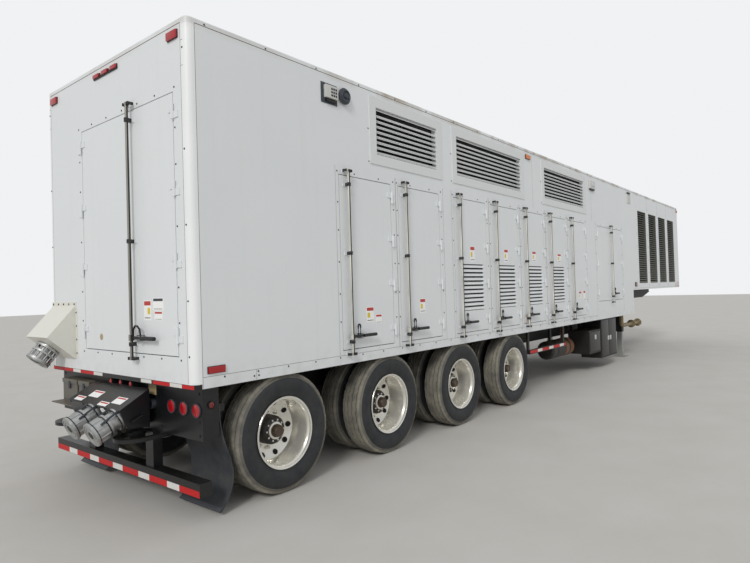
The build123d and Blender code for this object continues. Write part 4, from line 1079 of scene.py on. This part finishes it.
def coupler_trim(bm, foot, out, radius, length):
    """Gaskets, ribs, flange bolts and cap rings over one turned coupler."""
    foot = Vector(foot)
    out = Vector(out).normalized()
    turn = turn_to(out)
    for share in collar_shares:
        wide = radius * (1.02 if share > 0.8 else 0.945)
        start = length * share
        collar = hoop(start, start + collar_wide, wide - collar_deep, wide)
        add_turned(bm, collar, foot, out, 36, PLASTIC)
    for low, high in face_rings:
        ring = [(length, radius * low), (length + 0.005, radius * low), (length + 0.005, radius * high),
                (length, radius * high)]
        add_turned(bm, ring, foot, out, 36, CAST)
    boss = [(length, radius * 0.3), (length + 0.006, radius * 0.28), (length + 0.006, 0)]
    add_turned(bm, boss, foot, out, 24, PLASTIC)
    for across, up in circle(8, 0.5):
        spoke = turn @ Vector((across, up, 0))
        bolt = foot + out * length * 0.08 + spoke * radius * 0.82
        add_bolt(bm, bolt, out, 0.009, CAST)
        rib = foot + spoke * radius * 0.87
        add_tube(bm, [rib + out * length * 0.5, rib + out * length * 0.88], 0.006, 6, CAST)


def add_chain(bm, points, index):
    """A small chain as short bars that turn about each other."""
    for i, (first, second) in enumerate(zip(points, points[1:])):
        first, second = Vector(first), Vector(second)
        across = (second - first).cross(Vector((0, 1, 0) if i % 2 else (0, 0, 1))).normalized() * 0.006
        add_tube(bm, [first - across, second - across], 0.003, 5, index)
        add_tube(bm, [first + across, second + across], 0.003, 5, index)


coupler_places = (-0.1, -0.49)
coupler_size = (0.105, 0.23)
strap_away = 0.075
chain_links = 10
hood_coupler_foot = (-0.135, 1.05, 1.2925)
hood_coupler_out = (-0.656, 0, -0.754)
hood_coupler_size = (0.095, 0.17)
cage_rings = ((0.01, 0.03), (0.07, 0.088), (0.15, 0.172))
cage_inner = 0.09
cage_outer = 0.116
cage_bar_circle = 0.106


def rear_coupler(bm, y):
    """One of the two couplers in the housing, with its straps and a chain."""
    out = Vector(coupler_out)
    foot = at(coupler_front[0], y, coupler_front[1])
    coupler_trim(bm, foot, out, *coupler_size)
    cap = foot + out * 0.2
    for step in (-strap_away, strap_away):
        ends = [foot + Vector((-0.02, step, 0.08)), cap + Vector((0.01, step * 1.15, 0.075))]
        add_tube(bm, ends, 0.009, 8, STEEL)
    sag = [cap + Vector((0.03 + 0.012 * i, 0.08 + 0.012 * i, -0.05 - 0.03 * sin(pi * i / 9) - 0.004 * i))
           for i in range(chain_links)]
    add_chain(bm, sag, STEEL)


def hood_coupler(bm):
    """The coupler under the cable hood, in its cage of rings and bars."""
    foot = at(*hood_coupler_foot)
    out = Vector(hood_coupler_out)
    coupler_trim(bm, foot, out, *hood_coupler_size)
    for low, high in cage_rings:
        add_turned(bm, hoop(low, high, cage_inner, cage_outer), foot, out, 40, CAST)
    turn = turn_to(out)
    for across, up in circle(14):
        bar = foot + turn @ Vector((across, up, 0)) * cage_bar_circle
        add_tube(bm, [bar + out * 0.03, bar + out * 0.15], 0.007, 6, CAST)
    hanging = [foot + Vector((-0.06 + 0.004 * i, -0.09, -0.03 - 0.016 * i)) for i in range(chain_links)]
    add_chain(bm, hanging, STEEL)


def couplers():
    bm = bmesh.new()
    for y in coupler_places:
        rear_coupler(bm, y)
    hood_coupler(bm)
    piece("coupler_trim", bm, [cast_metal, black_plastic, dark_grey])


# Each is (y0, y1, start, stop), with start and stop as shares of the way down the housing's top.
housing_plates = [(-0.05, 0.13, 0.42, 0.7), (0.13, 0.28, 0.74, 0.93), (-0.5, -0.34, 0.5, 0.78),
                  (-0.33, -0.18, 0.78, 0.95)]
grab_handle = [(-0.15, -0.597, 0.75), (-0.15, -0.625, 0.755), (-0.06, -0.625, 0.79), (-0.06, -0.597, 0.795)]
socket_outline = [(0, 0.045), (0.03, 0.045), (0.036, 0.04), (0.036, 0.02), (0.03, 0.018), (0.03, 0)]
face_screw_places = (-0.55, -0.34, -0.25, 0.06, 0.31)
panel_screws = [(-0.66, z) for z in (0.68, 0.78, 0.92, 1.0)]
panel_screws += [(y, z) for y in (-1.22, 1.22) for z in (0.67, 0.78, 1.0)]


def housing_labels():
    """Bare label plates on the housing."""
    bm = bmesh.new()
    for y0, y1, start, stop in housing_plates:
        slanted_plate(bm, housing_top, y0, y1, start, stop, 0.0012, LABEL_WHITE)
        slanted_plate(bm, housing_top, y0 + 0.012, y1 - 0.012, start + 0.03, start + 0.08, 0.002, LABEL_RED)
    slanted_plate(bm, housing_face, -0.34, -0.25, 0.06, 0.3, 0.0012, LABEL_WHITE)
    add_box(bm, at(0.084, -0.59, 0.935), at(panel_rear, -0.47, 1.02), LABEL_TAN, 0.002)
    piece("housing_labels", bm, label_finishes)


def housing_trim():
    """The grab handle, the socket beside the housing and the edge bolts."""
    bm = bmesh.new()
    add_tube(bm, [at(*spot) for spot in grab_handle], 0.007, 8)
    add_turned(bm, socket_outline, at(panel_rear, -0.535, 0.86), (-1, 0, 0), 24, 1)
    (top_x, top_z), (foot_x, foot_z) = housing_face
    for y in face_screw_places:
        for share in (0.06, 0.92):
            spot = at(top_x + (foot_x - top_x) * share, y, top_z + (foot_z - top_z) * share)
            add_screw(bm, spot, coupler_out, 0.007)
    for y, z in panel_screws:
        add_screw(bm, at(panel_rear, y, z), (-1, 0, 0), 0.009)
    piece("housing_fastenings", bm, [black_plastic, dark_grey])


def stowage_trim():
    """Lid lips and latches of the two boxes beside the housing, and the flange screws of the cable hood."""
    bm = bmesh.new()
    for y0, y1 in ((0.47, 0.7), (0.735, 1.06)):
        add_box(bm, at(-0.006, y0 - 0.004, 0.93), at(panel_rear, y1 + 0.004, 0.972), 0, 0.003)
        middle = (y0 + y1) / 2
        add_box(bm, at(-0.014, middle - 0.02, 0.88), at(0.002, middle + 0.02, 0.95), 1, 0.003)
        for y in (y0 + 0.02, y1 - 0.02):
            add_screw(bm, at(0.002, y, 0.77), (-1, 0, 0), 0.007)
    piece("stowage_trim", bm, [housing_black, dark_grey])
    bm = bmesh.new()
    for y in steps(0.745, 1.235, 0.12):
        add_screw(bm, at(-0.008, y, 1.722), (-1, 0, 0), 0.007)
    for y in (0.712, 1.259):
        rear_plate(bm, y - 0.018, y + 0.018, 1.19, 1.673, 0.004, 1, 0.001)
        for z in steps(1.24, 1.64, 0.13):
            add_screw(bm, at(-0.004, y, z), (-1, 0, 0), 0.006)
    piece("hood_screws", bm, [screw_dark, hood_white])


def flap_strips():
    bm = bmesh.new()
    for y0, y1 in ((-1.235, -0.68), (0.68, 1.235)):
        slanted_plate(bm, ((0.2905, 0.0745), (0.235, 0.036)), y0, y1, 0.0, 0.95, 0.003)
    piece("flap_strips", bm, [strip_grey])


# Gear under the side

cabinet_face = 1.2005 - half_width
cabinet_doors = ((9.63, 10.09, 0.26, 1.0), (10.11, 10.57, 0.26, 1.0), (8.93, 9.53, 0.42, 0.8))
cabinet_latches = ((10.03, 0.62), (10.17, 0.62), (9.23, 0.7))
band_places = (7.88, 8.44)
band_outline = hoop(0, 0.045, 0.1701, 0.1735)
tank_middle = (-0.82, 0.56)
inlet_middle = (-1.1305, 0.79)
inlet_bolt_circle = 0.075
inlet_flanges = ((11.996, -1), (12.05, 1))


def under_side():
    """Doors, latches and lamps of the cabinets, the tank's bands and the inlet's bolts."""
    bm = bmesh.new()
    for side in (-1, 1):
        for place in cabinet_doors:
            side_plate(bm, *place, 0.006, 0, 0.002, cabinet_face, side)
        for x, z in cabinet_latches:
            side_plate(bm, x - 0.03, x + 0.03, z - 0.045, z + 0.045, 0.016, 1, 0.004,
                       cabinet_face + 0.006, side)
        side_plate(bm, 9.62, 9.7, 1.03, 1.065, 0.021, 2, 0.004, cabinet_face + 0.001, side)
    piece("cabinet_trim", bm, [black_panel, pale_grey, amber_lens])
    bm = bmesh.new()
    for x in band_places:
        add_turned(bm, band_outline, at(x, *tank_middle), (1, 0, 0), 40)
    piece("tank_bands", bm, [black_plastic])
    bm = bmesh.new()
    y, z = inlet_middle
    for x, way in inlet_flanges:
        for across, up in circle(8, 0.5):
            spot = at(x, y + inlet_bolt_circle * across, z + inlet_bolt_circle * up)
            add_bolt(bm, spot, (way, 0, 0), 0.01)
    piece("inlet_bolts", bm, [screw_dark])


# Vertical lips on the louvre blades

blade_first = 0.009
blade_pitch = 0.057
lip_height = 0.008
lip_thick = 0.002
lip_base = -0.006
head_height = 0.035


def blade_lips():
    """The lips of the blades and the head strip of each wall louvre."""
    first = louvre_bottom + blade_first
    count = int((louvre_top - first) / blade_pitch)
    strips = [(first + blade_pitch * i, first + blade_pitch * i + lip_height) for i in range(count)]
    strips.append((louvre_top - head_height, louvre_top))
    for side, name in both_sides:
        bm = bmesh.new()
        for x, width in wall_louvres:
            for low, high in strips:
                side_plate(bm, x, x + width, low, high, lip_thick, base=lip_base, side=side)
        piece(f"{name}_blade_lips", bm, [blade_white])


# Stage, light and camera

stage_half = 70
floor_pale = srgb(205, 202, 197)
floor_grey = srgb(199, 196, 190)
sky_strength = 0.62
seen_sky_strength = 0.9
sky_tone = (0.97, 0.985, 1.0, 1)
sun_strength = 1.2
sun_tone = (1.0, 0.985, 0.965)
sun_width = radians(14)
sun_from = (-0.85, -0.38, 0.62)


def stage():
    bm = bmesh.new()
    add_box(bm, (-stage_half, -stage_half, -0.1), (stage_half, stage_half, 0))
    mesh = close_mesh(bm, "floor_plane")
    ground = show("floor_plane", mesh)
    shader = Shader("floor_surface", roughness=0.9)
    shader.feed(Base_Color=shader.mix(shader.patches(1.5, 5, 0.3, 0.7), floor_grey, floor_pale))
    mesh.materials.append(shader.material)


def lights():
    world = bpy.data.worlds.new("sky")
    bpy.context.scene.world = world
    world.use_nodes = True
    tree = world.node_tree
    rays = add_node(tree, "LightPath").outputs
    seen = add_math(tree, "MAXIMUM", rays["Is Camera Ray"], rays["Is Transmission Ray"])
    strength = add_node(tree, "MapRange", Value=seen, To_Min=sky_strength, To_Max=seen_sky_strength)
    background = tree.nodes["Background"].inputs
    link(tree, strength.outputs["Result"], background["Strength"])
    background["Color"].default_value = sky_tone
    sun = bpy.data.lights.new("sun", "SUN")
    sun.energy = sun_strength
    sun.angle = sun_width
    sun.color = sun_tone
    show("sun", sun).rotation_euler = Vector(sun_from).to_track_quat("Z", "Y").to_euler()


camera_place = (-2.485, -5.161, 1.773)
camera_yaw = radians(39.5)
camera_pitch = radians(0.86)
camera_roll = radians(-1.7)
camera_lens = 27.49


def camera():
    """The photograph's viewpoint."""
    data = bpy.data.cameras.new("camera")
    data.lens = camera_lens
    data.sensor_width = 36
    data.clip_end = 300
    eye = show("camera", data)
    level = Matrix.Rotation(camera_yaw - pi / 2, 4, "Z") @ Matrix.Rotation(pi / 2 + camera_pitch, 4, "X")
    eye.matrix_world = Matrix.Translation(at(*camera_place)) @ level @ Matrix.Rotation(camera_roll, 4, "Z")
    bpy.context.scene.camera = eye


camera()
lights()
stage()
tyres()
wheels()
wall_shade_sheets()
door_shade_sheets()
blade_lips()
wall_fastenings()
lamps()
tapes()
labels()
eyes()
couplers()
housing_labels()
housing_trim()
stowage_trim()
flap_strips()
under_side()
bpy.context.scene.view_settings.view_transform = "Standard"
bpy.context.view_layer.update()
